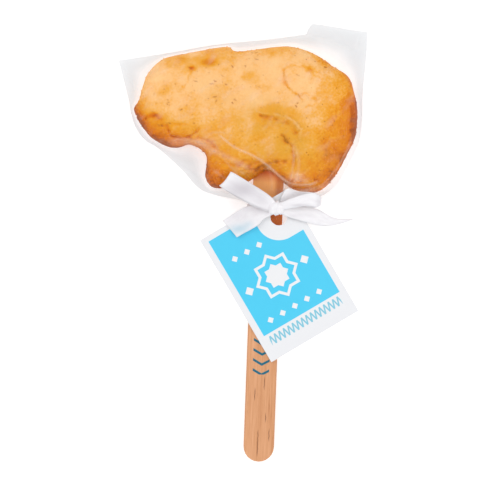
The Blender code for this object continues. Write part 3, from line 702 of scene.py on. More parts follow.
tree, given, result = new_tree("scatter_crumbs", [
    ("Crumbs per square metre", "NodeSocketFloat"), ("Smallest", "NodeSocketFloat"),
    ("Largest", "NodeSocketFloat"), ("Seed", "NodeSocketInt"), ("Finish", "NodeSocketMaterial")])
crumbly = add_node(tree, "GeometryNodeInputNamedAttribute", {"data_type": "FLOAT"}, Name="crumbly")
crumbly = Number(tree, crumbly.outputs["Attribute"])
fallen = add_node(tree, "GeometryNodeDistributePointsOnFaces", Mesh=given["Geometry"],
                  Density=crumbly * given["Crumbs per square metre"], Seed=given["Seed"])
size = add_node(tree, "FunctionNodeRandomValue", {"data_type": "FLOAT"}, Seed=given["Seed"])
plug(tree, size.inputs[2], given["Smallest"])
plug(tree, size.inputs[3], given["Largest"])
turned = add_node(tree, "FunctionNodeRandomValue", {"data_type": "FLOAT_VECTOR"})
turned.inputs[1].default_value = (math.tau, math.tau, math.tau)
stone = add_node(tree, "GeometryNodeMeshIcoSphere", Radius=1.0, Subdivisions=1)
crumbs = add_node(tree, "GeometryNodeInstanceOnPoints", Points=fallen.outputs["Points"],
                  Instance=stone.outputs["Mesh"], Rotation=turned, Scale=size.outputs[1])
squashed = add_node(tree, "GeometryNodeScaleInstances", Instances=crumbs, Scale=(1.0, 0.75, 0.6))
real = add_node(tree, "GeometryNodeRealizeInstances", Geometry=squashed)
joined = add_node(tree, "GeometryNodeJoinGeometry", Geometry=real)
plug(tree, joined.inputs[0], given["Geometry"])
dressed = add_node(tree, "GeometryNodeSetMaterial", Geometry=joined, Material=given["Finish"])
plug(tree, result[0], dressed)

before = len(cookie.data.polygons)
run_tree(cookie, tree, Crumbs_per_square_metre=4.5e6, Smallest=0.10 * MM, Largest=0.40 * MM,
         Seed=5, Finish=crust)
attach(cookie, "root")
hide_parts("cookie")
print(f"crumbs: {(len(cookie.data.polygons) - before) // 20}")

# %% [markdown]
# ## The stick
# A flat birch stick, sanded but bare. The solid already has the right rounded shape, so it stays
# and only gets a finish. Grain is noise drawn out along the stick, the pores and hairline cracks
# are the same noise cut off near its top, and the long edges are darker. The printed marks are
# plain chevrons in dark blue-green ink. Next to the cookie the wood is painted in the warm light
# that the crust throws back on it, with painted shade on one side of that end, at the notch where
# it goes into the cookie, and under the tie.

# %% Wood material
STICK_FOOT = (4.97, -71.9)
STICK_AIM = math.atan2(0.9993, 0.0365)
STICK_HALF = 5.0
# Each crack: place across, from and to along the stick, in millimetres from its foot.
CRACKS = [(1.1, 24.0, 27.6), (-1.9, 20.4, 23.8), (-0.4, 2.2, 10.0), (3.2, 7.2, 10.6),
          (1.9, 13.4, 15.6)]
CRACK_HALF = 0.13
FIRST_CHEVRON, LAST_CHEVRON, CHEVRON_PITCH = 28.6, 41.8, 3.3
CHEVRONS_ACROSS = (-2.9, 2.5)
# Places on the stick: the painted shade under the tie, the end painted in warm light from the
# crust, its side with painted shade, and the painted shade where the cookie starts.
TIE_SHADE_FROM, TIE_SHADE_TO = 76.6, 83.4
BOUNCE_LIGHT_FROM = 84.0
SHADED_ACROSS = (2.5, 6.3)
NOTCH_SHADE_FROM = 93.2

birch, tree, shader = new_finish("sanded_birch", 0.58, 0.3)
shifted = add_node(tree, "ShaderNodeMapping", Vector=object_place(tree),
                   Location=(-STICK_FOOT[0] * MM, -STICK_FOOT[1] * MM, 0.0))
laid = add_node(tree, "ShaderNodeMapping", Vector=shifted,
                Rotation=(0.0, 0.0, math.pi / 2 - STICK_AIM), Scale=(1000.0,) * 3)
across, along = axes(tree, laid)
streaks = grain(tree, laid, 1.0, 4.0, (2.6, 0.09, 2.6))
bands = grain(tree, laid, 1.0, 2.0, (0.35, 0.02, 0.35))
fibre = grain(tree, laid, 1.0, 3.0, (7.0, 0.35, 7.0))
wander = (grain(tree, laid, 1.0, 2.0, (0.02, 0.5, 0.02)) - 0.5) * 0.5
wood = tone_scale(tree, streaks * 0.55 + bands * 0.45, [
    (0.25, 192, 128, 84), (0.42, 214, 153, 108), (0.60, 228, 169, 126), (0.80, 238, 185, 144)])
wood = layered(tree, wood, (fibre.above(0.70, 0.05) * 0.55, linear(150, 96, 60)))
for side, start, end in CRACKS:
    line = (across + wander).between(side - CRACK_HALF, side + CRACK_HALF, 0.1)
    crack = line * along.between(start, end, 1.4)
    wood = layered(tree, wood, (crack * 0.8, linear(118, 70, 42)))
fold = (along - FIRST_CHEVRON - abs(across) * 0.55).math("PINGPONG", CHEVRON_PITCH / 2)
print_area = along.between(FIRST_CHEVRON, LAST_CHEVRON, 0.1)
print_area = print_area * across.between(*CHEVRONS_ACROSS, 0.1)
worn = (1.0 - fibre) * 0.3 + 0.84
crust_bounce_light = along.above(BOUNCE_LIGHT_FROM, 6.0)
# Darker long edges and the ink, then painted light and shade: warm light thrown back by the crust,
# shade on one side of that end, at the notch and under the tie.
wood = layered(tree, wood,
               (abs(across).above(STICK_HALF - 0.35, 0.5) * 0.35, linear(170, 112, 74)),
               (fold.below(0.44, 0.12) * print_area * worn, linear(0, 104, 126)),
               (crust_bounce_light * 0.8, linear(255, 178, 100)),
               (across.between(*SHADED_ACROSS, 1.2) * crust_bounce_light * 0.75, linear(196, 104, 44)),
               (along.above(NOTCH_SHADE_FROM, 3.0) * 0.85, linear(206, 84, 14)),
               (along.between(TIE_SHADE_FROM, TIE_SHADE_TO, 1.6) * 0.9, linear(228, 116, 44)))
paint(tree, shader, wood, fibre, 0.00008)

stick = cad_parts["stick"]
stick.data.materials.clear()
stick.data.materials.append(birch)
print("stick:", len(CRACKS), "cracks drawn")

# %% [markdown]
# ## The film bag
# A bag of clear film is a front and a back sheet, welded along the sides and drawn in at the
# neck. Over the cookie it hangs from the crust. Beyond the rim the two sheets lie together as
# flat margins. The tie gathers them in pleats that fan out over the cookie's lower edge. Cloth
# simulation would find such folds by itself, but not the ones that the real bag has, so each
# sheet is a height field again, with its folds drawn as lines.

# %% The film's edge and folds
SEAM = 3.0
NECK = Vector((7.95, 11.0))
NECK_TOP = 13.0
NECK_HALF = 6.1
NECK_HIGH = 4.95
NECK_LOW = 1.4
FUNNEL = 12.0
FUNNEL_LEFT, FUNNEL_RIGHT, FUNNEL_TOP = -6.5, 20.5, 27.0
FILM_CLEAR = 0.34
LEAVE = 1.0
REACH = 2.0
STICK_LOW = 2.2
STICK_HIGH = 4.2
BAG_RUNS = [
    [(-40.9, 59.9), (-24, 62.4), (-11.8, 64.6), (-4.9, 65.5), (7.8, 66.7), (20.7, 68.4)],
    [(20.7, 68.4), (21.5, 70.4), (22.8, 71.9)],
    [(22.8, 71.9), (31.5, 70.6), (40.9, 69.1)],
    [(40.9, 69.1), (40.4, 60), (39.3, 49), (39, 40.2), (38.1, 33.6), (36, 28.9), (33.7, 24.3),
     (30.6, 19.1), (26.5, 15.6), (21.5, 14.3), (17, 13.9), (14.05, 13)],
    [(14.05, 13), (14.05, 11), (14.05, 9), (14.5, 6.4)],
    [(14.5, 6.4), (8, 6), (1.4, 6.4)],
    [(1.4, 6.4), (1.85, 9), (1.85, 11), (1.85, 13)],
    [(1.85, 13), (-3, 14.3), (-9.3, 15.6), (-14.6, 17.9), (-20.1, 23.9), (-27.5, 30.7),
     (-32.3, 33.8), (-35.4, 38.1), (-36.8, 42.6), (-37.5, 46.5)],
    [(-37.5, 46.5), (-39.2, 53.2), (-40.9, 59.9)],
]
MOUTH_RUN = 5
# Each fold in the film: points along it, half width, height.
FOLDS = [
    ([(-8.5, 35.8), (-5.6, 33.2), (-2.6, 31), (3.9, 28), (8.3, 24.9), (12.7, 21.1), (15.4, 19.4),
      (18.6, 18.8), (22, 19), (25, 20.2)], 0.36, 0.58),
    ([(-16.5, 34.2), (-14, 32.4), (-10, 30.2), (-6.9, 28.7), (-1.4, 26), (2.9, 23.4)], 0.9, 0.32),
    ([(5, 15.4), (-0.6, 21), (-6.4, 27.6), (-9.8, 33.6)], 0.3, 0.22),
    ([(4, 14.6), (-4, 19.6), (-10.6, 24.4)], 0.4, 0.2),
    ([(12.6, 15.4), (15.4, 20.6), (16.5, 27), (16.4, 33.2)], 0.4, 0.26),
    ([(13, 15.2), (17, 20), (18.2, 25.6), (17.4, 30.4)], 0.5, 0.2),
    ([(13.8, 14.4), (20, 17), (27, 18.8), (31.4, 22.6)], 0.4, 0.3),
    ([(-14, 33.6), (-9, 36), (-4, 35.2)], 0.4, 0.25),
    ([(-24.2, 33.2), (-19, 33.8), (-14, 32.6), (-11.2, 30.2)], 0.4, 0.3),
    ([(9, 16), (9.4, 20), (8, 25), (3.6, 30.6)], 0.4, 0.12),
    ([(35.7, 35), (34.2, 30.8), (32, 26.6), (29, 22.2), (25.6, 18.8), (22.4, 17.8)], 0.26, 0.3),
]
# Folds in the flat margins, where no cookie is under them.
MARGIN_FOLDS = [
    ([(-40, 58.6), (-36.6, 52.4), (-34.8, 47.8)], 0.5, 0.35),
    ([(-30, 61), (-24.6, 61.8), (-16, 63.2)], 0.5, 0.25),
    ([(20.9, 68.2), (28, 66.4), (38, 62.6)], 0.5, 0.4),
    ([(-28, 30.6), (-20.6, 25.6), (-13, 20.6), (-4, 15.6)], 0.5, 0.3),
    ([(36.4, 60.4), (38, 66), (39.6, 68.6)], 0.5, 0.3),
]
# Where the film is painted light over the crust: partly milky film, partly painted highlight.
VEIL_AND_HIGHLIGHT_PATCHES = [
    (-18, 32.7, 6.4, 1, 0.2), (-10.4, 33, 3, 1.8, 0.12), (17.4, 21.6, 2.4, 1.2, 0.26),
    (18.6, 20.2, 2.2, 0.6, 0.16), (19, 16.4, 6, 0.9, 0.36), (14.2, 17, 1, 2, 0.42),
    (9.4, 32, 1, 2.4, 0.1),
]


def neck_distance(xy):
    """Distance from the upper end of the tied neck."""
    out = (np.abs(xy[:, 0] - NECK.x) - NECK_HALF).clip(0.0, None)
    return np.hypot(out, (xy[:, 1] - NECK_TOP).clip(0.0, None))


def tied(xy):
    """1 in the tied neck, fading to 0 a little way out of it."""
    return 1.0 - ease(neck_distance(xy) / 2.0)


def raised(xy, folds):
    """Height that the folds add, each a soft ridge that fades at its ends."""
    total = np.zeros(len(xy))
    for points, width, height in folds:
        line = smooth_line(points)
        ends = np.min([np.linalg.norm(xy - end, axis=1) for end in (line[0], line[-1])], axis=0)
        ridge = height * np.exp(-(line_distance(xy, line) / width) ** 2)
        total = np.maximum(total, ridge * ease(ends / 3.0 + 0.15))
    return total


def neck_pleats(xy):
    """Narrow pleats at the tie, which fan out and die away over the cookie."""
    r = neck_distance(xy)
    angle = np.arctan2(xy[:, 0] - NECK.x, xy[:, 1] - NECK.y + 6.0)
    across = (xy[:, 0] - NECK.x) / NECK_HALF
    spread = np.where(r > 0, np.sin(angle * 26.0 + 0.7), np.sin(across * 17.0 + 0.7))
    return spread * (0.26 * np.exp(-r / 2.6) + 0.10 * np.exp(-r / 9.0))


print("folds drawn:", len(FOLDS) + len(MARGIN_FOLDS))

# %% The film's two sheets
bag_lines = [even_line(smooth_line(run), 0.7)[:-1] for run in BAG_RUNS]
bag_region = Region(np.vstack(bag_lines))
mouth_start = sum(len(line) for line in bag_lines[:MOUTH_RUN])
mouth = range(mouth_start, mouth_start + len(bag_lines[MOUTH_RUN]) + 1)


def seam_height(xy):
    """Middle of the flat margins, which wave a little where they are free."""
    free = ease(-(plain_cookie.depth(xy) + 1.0) / 5.0) * ease(neck_distance(xy) / 8.0)
    return SEAM + free * (0.55 * bumps(xy, 11.0, 31.0, 2) + 0.15 * bumps(xy, 3.5, 32.0, 2))


def film_top(xy):
    """The front sheet: over the cookie, down to the neck in a funnel, and flat in the margins."""
    x, y = xy.T
    inside = plain_cookie.depth(xy)
    edge = bag_region.depth(xy)
    middle = seam_height(xy)
    width = np.clip(edge - inside, 0.5, REACH)
    slope = np.clip((inside + width) / (LEAVE + width), 0.0, 1.0)
    slope = 1.25 * slope ** 2 / (slope + 0.25)
    shoulder = middle + (dome(LEAVE) + FILM_CLEAR - middle) * slope
    on_crust = dome(inside + UNDERCUT * tied(xy)) + FILM_CLEAR - 0.08 * marks(xy)
    rise = np.clip(neck_distance(xy) / FUNNEL, 0.0, 1.0)
    funnel = NECK_HIGH + (COOKIE_TOP + 0.5 - NECK_HIGH) * np.sin(rise * math.pi / 2) ** 1.6
    tight = np.minimum(np.where(inside < LEAVE, shoulder, on_crust), funnel)
    span = np.maximum(np.minimum(dome(1.2), funnel), tight)
    in_funnel = ease((FUNNEL_TOP - y) / 4.0)
    in_funnel *= ease((x - FUNNEL_LEFT) / 4.0) * ease((FUNNEL_RIGHT - x) / 4.0)
    folds = raised(xy, FOLDS) * ease((inside + 3.0) / 3.0) + neck_pleats(xy) * ease(edge)
    crumple = 0.12 * np.abs(bumps(xy, 4.2, 33.0, 2)) * ease((44.0 - y) / 20.0)
    high = tight + (span - tight) * in_funnel + folds + crumple
    leave = np.max([ease((inside + width + 0.6) / 0.6), in_funnel, tied(xy)], axis=0)
    lift = 0.07 + raised(xy, MARGIN_FOLDS) * (1.0 - leave)
    return middle + (np.maximum(high - middle, 0.0) * leave + lift) * ease(edge / 0.7)


def film_bottom(xy):
    """The back sheet, which lies under the cookie and comes up to meet the front one."""
    inside = plain_cookie.depth(xy)
    low = underside(np.maximum(inside + 0.75, 0.0) + UNDERCUT * tied(xy), 2.0) - 0.36
    low = np.maximum(low, 1.35 - 1.15 * ease(neck_distance(xy) / 5.0))
    low = low - 0.5 * neck_pleats(xy) * (1.0 - tied(xy))
    leave = np.maximum(ease((inside + 2.2) / 1.6), tied(xy))
    middle = seam_height(xy)
    drop = np.maximum(middle - np.maximum(low, 0.12), 0.0) * leave + 0.07
    return middle - drop * ease(bag_region.depth(xy) / 0.7)


print("film edge:", len(bag_region.loop), "points,", len(mouth), "of them at the mouth")

# %% Film finish
film, tree, shader = new_finish("clear_film", 0.12)
tree.nodes.remove(shader)


def mixed(tree, share, under, over):
    made = add_node(tree, "ShaderNodeMixShader")
    for slot, value in zip(made.inputs, (share, under, over)):
        plug(tree, slot, value)
    return made


margin = surface_number(tree, "margin")
clear = add_node(tree, "ShaderNodeBsdfTransparent", Color=layered(
    tree, (0.997, 0.997, 0.997, 1.0), (margin, (0.875, 0.878, 0.882, 1.0))))
# The milky layer is peach over the crust, painted warm light thrown back by it, and near white in
# the margins.
milky_painted_light = add_node(tree, "ShaderNodeBsdfDiffuse", Color=layered(
    tree, (0.99, 0.80, 0.64, 1.0), (margin, (0.95, 0.93, 0.93, 1.0))))
gloss = add_node(tree, "ShaderNodeBsdfAnisotropic", Color=(1.0, 1.0, 1.0, 1.0), Roughness=0.09)
body = mixed(tree, surface_number(tree, "haze"), clear, milky_painted_light)
# Seen at a slant, film mirrors more. This is the same from both of its sides.
slant = Number(tree, add_node(tree, "ShaderNodeLayerWeight", Blend=0.5).outputs["Facing"])
surface = mixed(tree, slant.math("POWER", 5.0) * 0.34 + 0.006, body, gloss)
plug(tree, tree.nodes["Material Output"].inputs["Surface"], surface)
print("film finish:", len(tree.nodes), "nodes")

# %% Build the bag
upper_dots = dots_in(bag_region, (0.25, 0.6), 0.6, 0.5, 0.9, 0.22, 0.1)
lower_dots = dots_in(bag_region, (0.25, 0.6), 0.6, 0.95, 1.0, 0.3, 0.1)
bm, upper, lower = shell(bag_region.loop, upper_dots, film_top, lower_dots, film_bottom)
for i in mouth:
    upper[i].co.z = NECK_HIGH + neck_pleats(np.array([upper[i].co[:2]]))[0]
    lower[i].co.z = NECK_LOW
bmesh.ops.remove_doubles(bm, verts=bm.verts, dist=0.0001)
bmesh.ops.recalc_face_normals(bm, faces=bm.faces)
highest = max(bm.faces, key=lambda f: f.calc_center_median().z)
if highest.normal.z < 0:
    bmesh.ops.reverse_faces(bm, faces=bm.faces)
xy = np.array([v.co[:2] for v in bm.verts])
bag = finished("film_bag", bm, film)

inside = plain_cookie.depth(xy)
edge = bag_region.depth(xy).clip(0.0, None)
past_rim = (-inside).clip(0.0, None)
margin = ease(past_rim / (past_rim + edge + 0.3) / 0.62) + 0.12 * np.exp(-edge / 0.5)
cling = patches(xy, [(37.0, 24.0, 12.0, 15.0, 1.0)])
near_neck = np.exp(-neck_distance(xy) / 3.0)
keep_number(bag, "margin", margin * (1.0 - near_neck) * (1.0 - 0.9 * cling))
# The haze number is mostly painted highlight: bright lines along the folds, pale patches and
# streaks of painted sheen over the crust, where gloss would catch the lights.
ridge = raised(xy, FOLDS) * 0.58 + raised(xy, MARGIN_FOLDS) * 0.12
veil_and_highlight = patches(xy, VEIL_AND_HIGHLIGHT_PATCHES) * (1.0 + 0.5 * bumps(xy, 2.2, 34.0))
slanting = xy @ np.array([[0.30, 0.62], [0.26, -0.72]])
sheen = 0.24 * (bumps(slanting, 2.4, 35.0) - 0.12).clip(0.0, None) * (1.0 - 0.7 * cling)
keep_number(bag, "haze", ridge + veil_and_highlight + sheen * (inside > 0.5), 0.7)
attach(bag, "root")
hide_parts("bag")
print(f"film: {len(bag.data.polygons)} faces")

# %% [markdown]
# ## The satin bow
# One length of satin ribbon goes round the neck, up through the card's hole and into a bow. Each
# loop or tail is a strip between two edge lines. Geometry Nodes lay a grid between the lines,
# row by row, and crown it a little, because a satin strip never lies quite flat. Bending a flat
# strip with a Curve modifier would twist it where the two edges need to differ.

# %% A node tree that lays a strip between two edges
tree, given, result = new_tree("lay_strip", [
    ("First edge", "NodeSocketObject"), ("Second edge", "NodeSocketObject"),
    ("Cells along", "NodeSocketInt"), ("Cells across", "NodeSocketInt"),
    ("Crown", "NodeSocketFloat"), ("Finish", "NodeSocketMaterial")])
strip_tree = tree


def vector_math(operation, *values, **named):
    made = add_node(strip_tree, "ShaderNodeVectorMath", {"operation": operation}, **named)
    for slot, value in zip(made.inputs, values):
        plug(strip_tree, slot, value)
    return made


grid = add_node(tree, "GeometryNodeMeshGrid", Size_X=1.0, Size_Y=1.0,
                Vertices_X=given["Cells across"], Vertices_Y=given["Cells along"])
side, run = axes(tree, add_node(tree, "GeometryNodeInputPosition"))
side, run = side + 0.5, run + 0.5
ends = []
for label in ("First edge", "Second edge"):
    line = add_node(tree, "GeometryNodeObjectInfo", Object=given[label])
    ends.append(add_node(tree, "GeometryNodeSampleCurve",
                         {"mode": "FACTOR", "use_all_curves": True},
                         Curves=line.outputs["Geometry"], Factor=run))
first, second = [end.outputs["Position"] for end in ends]
width = vector_math("SUBTRACT", second, first)
flat_spot = vector_math("ADD", first, vector_math("SCALE", width, Scale=side))
facing = vector_math("CROSS_PRODUCT", ends[0].outputs["Tangent"], width)
swell = side * (1.0 - side) * 4.0 * given["Crown"]
lifted = vector_math("SCALE", vector_math("NORMALIZE", facing), Scale=swell)
uv_spot = add_node(tree, "ShaderNodeCombineXYZ", X=side, Y=run * 3.0)
mapped = add_node(tree, "GeometryNodeStoreNamedAttribute",
                  {"data_type": "FLOAT2", "domain": "CORNER"}, Geometry=grid.outputs["Mesh"],
                  Name="UVMap", Value=uv_spot)
laid_out = add_node(tree, "GeometryNodeSetPosition", Geometry=mapped,
                    Position=vector_math("ADD", flat_spot, lifted))
real = add_node(tree, "GeometryNodeRealizeInstances", Geometry=laid_out)
dressed = add_node(tree, "GeometryNodeSetMaterial", Geometry=real, Material=given["Finish"])
plug(tree, result[0], dressed)
print("strip tree:", len(tree.nodes), "nodes")

# %% Satin finish
satin, tree, shader = new_finish("white_satin", 0.38, 0.6)
uv = add_node(tree, "ShaderNodeUVMap", {"uv_map": "UVMap"})
threads = grain(tree, uv, 1.0, 3.0, (46.0, 2.2, 1.0))
slubs = grain(tree, uv, 1.0, 2.0, (5.0, 3.0, 1.0))
shade = tone_scale(tree, threads * 0.35 + slubs * 0.65, [
    (0.30, 236, 232, 234), (0.52, 242, 239, 241), (0.75, 248, 246, 246)])
selvedge = abs(axes(tree, uv)[0] - 0.5).above(0.455, 0.02)
# The greyer tone is painted shade on the loops and tails; the blue is the card seen through the
# sheer end.
colour = layered(tree, shade,
                 (selvedge * 0.5, linear(240, 238, 240)),
                 (surface_number(tree, "thin"), linear(196, 189, 195)),
                 (surface_number(tree, "sheer"), linear(166, 204, 220)))
paint(tree, shader, colour, threads + selvedge * 1.6, 0.000025)
shader.inputs["Sheen Weight"].default_value = 0.25
shader.inputs["Sheen Roughness"].default_value = 0.4
print("satin finish:", len(tree.nodes), "nodes")

# %% [markdown]
# ### Where the ribbon runs
# Each strip is a list of stations, from the knot outwards: the middle of the strip, and the step
# from there to its edge. The loops go out, fold over and come back to the knot.

# %% Strips
# Each station: the middle of the strip, then the step from there to its edge.
LEFT_LOOP = [
    (9.8, 11.8, 9.1, 0.8, 1.5, 0.3), (8, 12.9, 9.8, 1.1, 2, 0.25),
    (5.4, 14.3, 10.7, 1.35, 2.35, 0.1), (0.2, 17.3, 12, 1.5, 2.5, -0.1),
    (-4.3, 19.9, 12.2, 1.75, 2.45, 0), (-5.85, 20.75, 11.4, 1.83, 2.3, 0.1),
    (-4.2, 19.5, 10.75, 1.8, 2.25, 0.1), (0, 16.8, 9.9, 1.5, 2.3, 0),
    (5.2, 13.4, 9.05, 1.2, 1.9, -0.1), (9.6, 11.3, 8.5, 0.8, 1.4, -0.2),
]
RIGHT_LOOP = [
    (12.4, 11.7, 9.2, -0.3, 1.2, 0.3), (14, 12.2, 9.9, -0.4, 1.3, 0.4),
    (16.4, 12.9, 10.5, -0.5, 1.5, 0.5), (20.4, 13.8, 11.1, -0.5, 1.9, 0.6),
    (23.2, 13.9, 11, -0.3, 2.3, 0.4), (24.7, 13.5, 10.5, 0.1, 1.8, 0.3),
    (25.4, 13.3, 9.8, 0.1, 1.1, 0.2), (24.8, 13.4, 9.1, 0.1, 1.7, 0.2),
    (22.6, 13.8, 8.6, -0.1, 2.5, 0.5), (18.6, 14.2, 8.5, -0.5, 2.5, 0.6),
    (15.4, 14.6, 8.5, -1, 3, 0.9), (13.6, 13, 8.4, -0.9, 2, 0.4), (12.4, 11.2, 8.3, -0.2, 1, -0.1),
]
LEFT_TAIL = [
    (10, 10.7, 8.5, -0.3, 1.3, 0.2), (8.2, 10.5, 8.35, -0.6, 1.8, 0.2),
    (6, 10, 8.1, -0.9, 2.2, 0.1), (3.4, 8.9, 7.95, -1.5, 3.2, 0), (0.6, 7.4, 7.7, -1.9, 3.2, 0),
    (-1.6, 6.1, 7.5, -2.2, 2.9, 0.1), (-4.3, 4.4, 7.2, -2.3, 2.7, 0.1),
]
RIGHT_TAIL = [
    (12.2, 10.7, 8.5, 0.1, 1.2, 0.2), (14, 10.4, 8.3, 0.2, 1.7, 0.2), (16, 10, 8, 0.3, 2, 0.1),
    (20.5, 9.2, 7.75, 0.4, 2.4, 0.2), (23.5, 8.5, 7.3, 0.3, 2.6, 0.3),
    (26, 7.8, 6.8, 0.1, 2.3, 0.3), (28.4, 7.1, 6.3, 0, 1.6, 0.2), (31.2, 6.9, 5.8, 0, 0.9, 0.1),
    (33.6, 7.2, 5.4, 0, 0.5, 0.1), (36, 7.7, 5, 0, 0.15, 0),
]
# Where the satin is painted greyer, as painted shade on the loops and tails, and where the blue of
# the card shows through it.
SATIN_SHADE_PATCHES = [
    (0, 17.2, 5.5, 3, 0.75), (6, 14, 2.6, 2, 0.35), (4.6, 10.8, 4, 1.2, 0.35),
    (18.4, 12.2, 3, 0.5, 0.5), (16.5, 8.6, 4, 0.8, 0.25), (24.7, 13.4, 0.9, 1.6, 0.4),
    (-1.5, 8.5, 5, 3, 0.28),
]
SHEER_SATIN = [
    (-2.9, 4, 2.2, 1.6, 0.42), (-0.2, 4.5, 2.4, 1.5, 0.5), (1.9, 6, 1.6, 1.1, 0.3),
]
RIBBON_THICK = 0.22
CELLS_ACROSS = 13


def edge_curve(name, points):
    """A poly curve in metres for the node tree to follow."""
    curve = bpy.data.curves.new(name, "CURVE")
    curve.dimensions = "3D"
    line = curve.splines.new("POLY")
    line.points.add(len(points) - 1)
    for point, place in zip(line.points, points):
        point.co = (*(Vector(place) * MM), 1.0)
    return put(name, curve)


def lay_strip(name, stations, along, crown):
    """One strip of ribbon through its stations, as plain mesh."""
    stations = np.array(stations, float)
    middles, halves = smooth_line(stations[:, :3]), smooth_line(stations[:, 3:])
    strip = put(name, bpy.data.meshes.new(name))
    guides = [edge_curve(name + "_first", middles - halves),
              edge_curve(name + "_second", middles + halves)]
    run_tree(strip, strip_tree, First_edge=guides[0], Second_edge=guides[1], Cells_along=along,
             Cells_across=CELLS_ACROSS, Crown=crown * MM, Finish=satin)
    for guide in guides:
        bpy.data.objects.remove(guide)
    return thicken(strip, RIBBON_THICK)


strips = [lay_strip(*row) for row in (
    ("left_loop", LEFT_LOOP, 90, 0.35), ("right_loop", RIGHT_LOOP, 96, 0.35),
    ("left_tail", LEFT_TAIL, 44, 0.3), ("right_tail", RIGHT_TAIL, 60, 0.35))]
print("strips:", [len(s.data.polygons) for s in strips])

# %% [markdown]
# ### The knot, the band and the thread
# The knot is the ribbon wrapped once over itself: a short barrel with folds running round it.
# The band goes round the neck, flat against the gathered film, and a short length goes down
# through the hole in the card to it.

# %% Rings of the knot, the band and the thread
KNOT_PLACE = (11.0, 11.2, 8.75)
KNOT_HALF = (2.6, 2.3, 1.35)
TIE_HALF = 1.7
STICK_MIDDLE = (STICK_LOW + STICK_HIGH) / 2
THREAD_PLACE = (11.2, 9.85)


def knot_ring(side):
    """One turn of the knot's wrap, from its left face at -1 to its right face at 1."""
    turns = np.linspace(0.0, math.tau, 49)
    pinch = math.sqrt(1.0 - abs(side) ** 2.6) * 0.86 + 0.14
    fold = 1.0 + 0.07 * np.cos(side * 9.0 + 0.9 * np.sin(turns))
    fold += 0.04 * np.sin(side * 17.0 + turns)
    long, high, deep = KNOT_HALF
    return KNOT_PLACE + np.column_stack([
        side * long + 0.25 * np.cos(turns),
        high * pinch * fold * np.cos(turns) + 0.1 * side * np.sin(turns),
        deep * pinch * fold * np.sin(turns)])


def band_row(y, growth):
    """The band's outline across the stick at one place along it: a box with round corners."""
    half_x, half_z, radius = NECK_HALF + 0.3 + growth, 2.3 + growth, 0.6 + growth
    loop = []
    for turn, (x, z) in enumerate(((1, 1), (-1, 1), (-1, -1), (1, -1))):
        for angle in math.pi / 2 * (turn + np.arange(7) / 6):
            loop.append((x * (half_x - radius) + radius * math.cos(angle),
                         z * (half_z - radius) + radius * math.sin(angle)))
    x, z = even_line(np.array(loop + loop[:1]), 0.5).T
    z = STICK_MIDDLE + z + 0.05 * np.sin(x * 2.1 + y)
    return np.column_stack([NECK.x + x, np.full(len(x), y), z])


def thread_row(z):
    """The ribbon gathered to a narrow flat cord where it goes through the card."""
    turns, twist = np.linspace(0.0, math.tau, 17), z * 1.4
    x = 0.9 * np.cos(turns) * (1.0 + 0.12 * np.cos(3 * turns + twist))
    y = 0.42 * np.sin(turns) * (1.0 + 0.2 * np.cos(5 * turns + twist))
    return np.column_stack([THREAD_PLACE[0] + x, THREAD_PLACE[1] + y, np.full(17, z)])


# %% Loft the knot, the band and the thread
def lofted(name, rows, closed_ends):
    """A mesh through rows of points, each row a closed ring whose last point repeats its first."""
    bm = bmesh.new()
    uv = bm.loops.layers.uv.new("UVMap")
    grid = [[bm.verts.new(p) for p in row[:-1]] for row in rows]
    last, count = len(grid) - 1, len(grid[0])
    for i in range(last):
        for j in range(count):
            k = (j + 1) % count
            face = bm.faces.new((grid[i][j], grid[i][k], grid[i + 1][k], grid[i + 1][j]))
            corners = ((i, j), (i, j + 1), (i + 1, j + 1), (i + 1, j))
            for loop, (a, b) in zip(face.loops, corners):
                loop[uv].uv = (a / last, 3.0 * b / count)
    if closed_ends:
        bm.faces.new(grid[0])
        bm.faces.new(grid[-1])
    bmesh.ops.recalc_face_normals(bm, faces=bm.faces)
    return finished(name, bm, satin)


steps = np.linspace(-1.0, 1.0, 9)
band_rows = [band_row(NECK.y + step * TIE_HALF, 0.34 - 0.10 * abs(step)) for step in steps]
band_rows += [band_row(NECK.y + step * TIE_HALF, 0.06) for step in steps[::-1]]
count = min(len(row) for row in band_rows)
lengths = [np.linalg.norm(np.diff(row, axis=0), axis=1).sum() for row in band_rows]
band_rows = [even_line(row, length / (count - 1))[:count]
             for row, length in zip(band_rows, lengths)]
knot = lofted("knot", [knot_ring(side) for side in np.linspace(-0.97, 0.97, 27)], True)
band = lofted("neck_band", band_rows + band_rows[:1], False)
thread = lofted("thread", [thread_row(z) for z in np.linspace(5.55, 8.5, 12)], True)
print("knot, band and thread:", [len(p.data.polygons) for p in (knot, band, thread)])

# %% Join the bow
bm = bmesh.new()
for part in (*strips, knot, band, thread):
    bm.from_mesh(part.data)
    bpy.data.objects.remove(part)
for face in bm.faces:
    face.material_index = 0
    face.smooth = True
mesh = bpy.data.meshes.new("satin_bow")
bm.to_mesh(mesh)
bm.free()
mesh.materials.append(satin)
bow = put("satin_bow", mesh)
xy = np.array([v.co[:2] for v in mesh.vertices]) / MM
# Painted shade on the satin, greyer on the loops and tails.
keep_number(bow, "thin", patches(xy, SATIN_SHADE_PATCHES))
keep_number(bow, "sheer", patches(xy, SHEER_SATIN))
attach(bow, "root")
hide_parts("ribbon")
print(f"bow: {len(mesh.polygons)} faces")

# %% [markdown]
# ## The card
# A square-cut card with a punched hole, printed on its front. It bends a little over the stick.
# The mesh is a fine grid in the card's own axes, and its UV map keeps those axes in millimetres,
# so the print is drawn with plain sums: a field, a clear space round the hole, an eight-pointed
# star with small diamonds, and a row of triangles along the lower strip.

